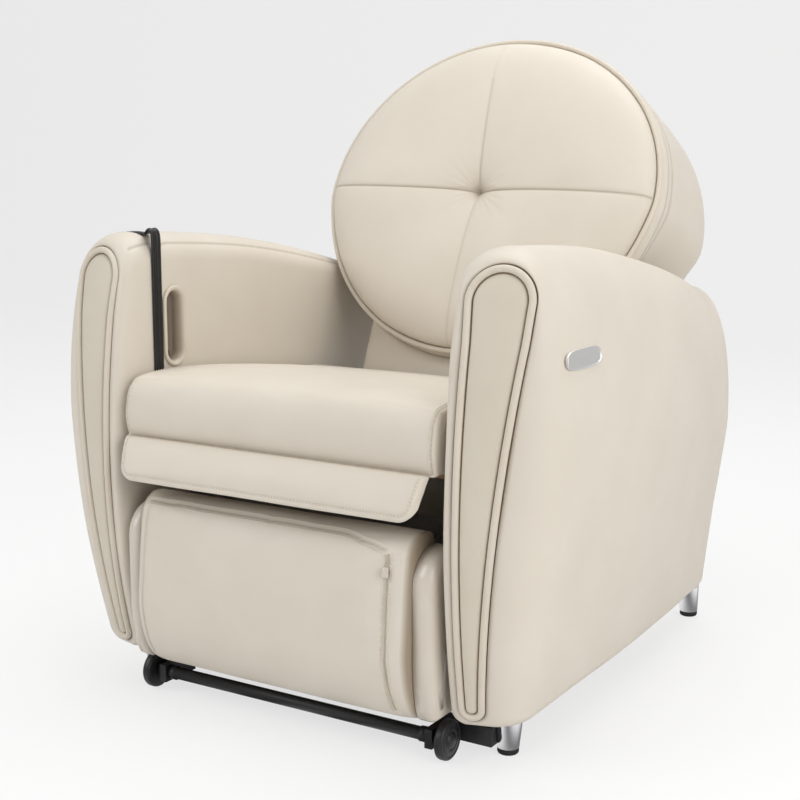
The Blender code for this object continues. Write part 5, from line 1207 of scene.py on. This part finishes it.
def make_side_panel(name, side):
    """Glossy moulded side of the leg rest, with a full round top and soft edges."""
    low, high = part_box(f"{name}_leg_rest_panel")
    near, far = (low.x, high.x) if side > 0 else (high.x, low.x)
    radius, front, rear, floor = 0.051, -0.056, 0.046, 0.066
    middle_y, middle_z = front + radius, 0.309 - radius

    def outline(inset):
        points = [(middle_y + (radius - inset) * math.cos(turn), middle_z + (radius - inset) * math.sin(turn))
                  for turn in arc(0, 180, 40)]
        base = floor + inset
        soft = [(front + inset, 0.2), (front + inset, 0.15), (front + inset + 0.003, 0.115),
                (front + inset + 0.009, 0.085), (front + 0.016 + inset * 0.8, base + 0.004),
                (front + 0.022 + inset * 0.6, base), (rear - 0.022 - inset * 0.6, base),
                (rear - 0.014 - inset * 0.8, base + 0.006), (rear - inset - 0.006, 0.1), (rear - inset, 0.14),
                (rear - inset, 0.2)]
        return np.array(points + soft)

    rings = []
    depth = abs(far - near)
    for inset, share in ((0.012, 0.0), (0.0, 0.0), (0.0, 0.5), (0.0006, 0.68), (0.003, 0.84), (0.007, 0.94),
                         (0.013, 0.99), (0.024, 1.0)):
        rings.append(at_x(near + side * depth * share, outline(inset)))
    panel = skin(f"{name}_leg_rest_moulding", rings)
    dress(panel, "leg_rest", GLOSS, "gloss_white", [f"{name}_leg_rest_panel"])


# Base

def make_feet():
    for name, side in SIDES:
        for place, y, splay in FEET:
            foot = lathe(f"{place}_{name}_foot_chrome", FOOT_PROFILE, "Z", (side * FOOT_X, y, 0.0))
            points = points_of(foot)
            points[:, 1] += splay * (0.0617 - points[:, 2])
            set_points(foot, points)
            dress(foot, "chair", CHROME, "chrome", [f"{place}_{name}_foot"])
            middle = (side * FOOT_X, y + splay * 0.0537, 0.0)
            glide = lathe(f"{place}_{name}_glide_rubber", GLIDE_PROFILE, "Z", middle, 48)
            dress(glide, "chair", RUBBER, "black_rubber", [f"{place}_{name}_glide"])


def make_wheels():
    for name, side in SIDES:
        profile = [(side * x, radius) for x, radius in WHEEL_PROFILE]
        wheel = lathe(f"{name}_transport_wheel", profile, "X", (side * WHEEL_X, 0.0, AXLE_Z), 72)
        dress(wheel, f"{name}_wheel", BLACK, "black_plastic", [f"{name}_wheel"])
    profile = list(AXLE_PROFILE) + [(-x, radius) for x, radius in AXLE_PROFILE[::-1]]
    axle = lathe("axle_rod", profile, "X", (0.0, 0.0, AXLE_Z), 48)
    dress(axle, "chair", BLACK, "black_plastic", ["axle_bar"])


def paint_nodes():
    """Procedural finishes for the CAD pieces that stay as they are."""
    slots = {row["node"]: row["material_slot"] for row in frame["record"]["subparts"]}
    for name, made in frame["nodes"].items():
        made.data.materials.clear()
        # the release paddle gets the darker plastic, painted shade of the pocket's recess
        made.data.materials.append(PADDLE_SHADE if name == "release_paddle" else NODE_FINISHES[slots[name]])


# Studio

def make_studio():
    bend = [(4.0 + 2.0 * math.sin(turn), 2.0 - 2.0 * math.cos(turn)) for turn in arc(0, 90, 13)]
    profile = [(-9.0, 0.0), (0.0, 0.0)] + bend + [(6.0, 6.0)]
    rows = np.array([[(x, y, z) for y, z in profile] for x in (-12.0, 12.0)])
    count = len(profile)
    faces = [(index, index + 1, count + index + 1, count + index) for index in range(count - 1)]
    data = bpy.data.meshes.new("studio_sweep")
    data.from_pydata(rows.reshape(-1, 3).tolist(), [], faces)
    data.shade_smooth()
    sweep = linked("studio_sweep", data)
    paper = Finish("studio_paper", {"Base Color": (0.92, 0.92, 0.92, 1.0), "Roughness": 0.9,
                                    "Specular IOR Level": 0.1})
    ray = paper.node("LightPath", output="Is Camera Ray")
    shiny = paper.node("LightPath", output="Is Glossy Ray")
    bands = paper.node("TexWave", {}, {"Vector": paper.place, "Scale": 2.2, "Distortion": 0.5}, output="Fac")
    tone = paper.mix(bands * shiny, (0.95, 0.95, 0.95, 1.0), (0.12, 0.12, 0.125, 1.0))
    glow = paper.node("Emission", {}, {"Color": tone, "Strength": 1.0})
    share = ray * 0.74 + shiny * 0.8
    end = paper.tree.nodes["Material Output"]
    both = paper.node("MixShader", {}, (share, Wire(paper, paper.shader.outputs[0]), glow))
    paper.feed(end.inputs["Surface"], both)
    data.materials.append(paper.material)

    world = bpy.data.worlds.new("studio_air")
    bpy.context.scene.world = world
    world.use_nodes = True
    air = world.node_tree.nodes["Background"].inputs
    air["Color"].default_value = (1.0, 0.995, 0.985, 1.0)
    air["Strength"].default_value = 0.42
    for name, where, size, power in LIGHTS:
        lamp = bpy.data.lights.new(name, "AREA")
        lamp.shape = "SQUARE"
        lamp.size = size
        lamp.energy = power
        made = linked(name, lamp)
        made.location = where
        made.rotation_euler = (LIGHT_AIM - Vector(where)).to_track_quat("-Z", "Y").to_euler()


def make_camera():
    lens = bpy.data.cameras.new("photo_view")
    lens.sensor_width = 36.0
    lens.lens = CAMERA_LENS
    made = linked("photo_view", lens)
    made.location = CAMERA_PLACE
    made.rotation_euler = (math.pi / 2 - CAMERA_PITCH, 0.0, CAMERA_AZIMUTH)
    bpy.context.scene.camera = made


bpy.context.scene.view_settings.view_transform = "Standard"
make_camera()
make_studio()
paint_nodes()
left_cover, _ = [make_arm(name, side) for name, side in SIDES]
make_pocket()
make_strap(left_cover)
make_badge()
make_seat()
make_flap()
make_back_cushion()
make_drum()
make_lumbar_pad()
make_rear_cover()
make_leg_pad()
for name, side in SIDES:
    make_side_panel(name, side)
make_feet()
make_wheels()
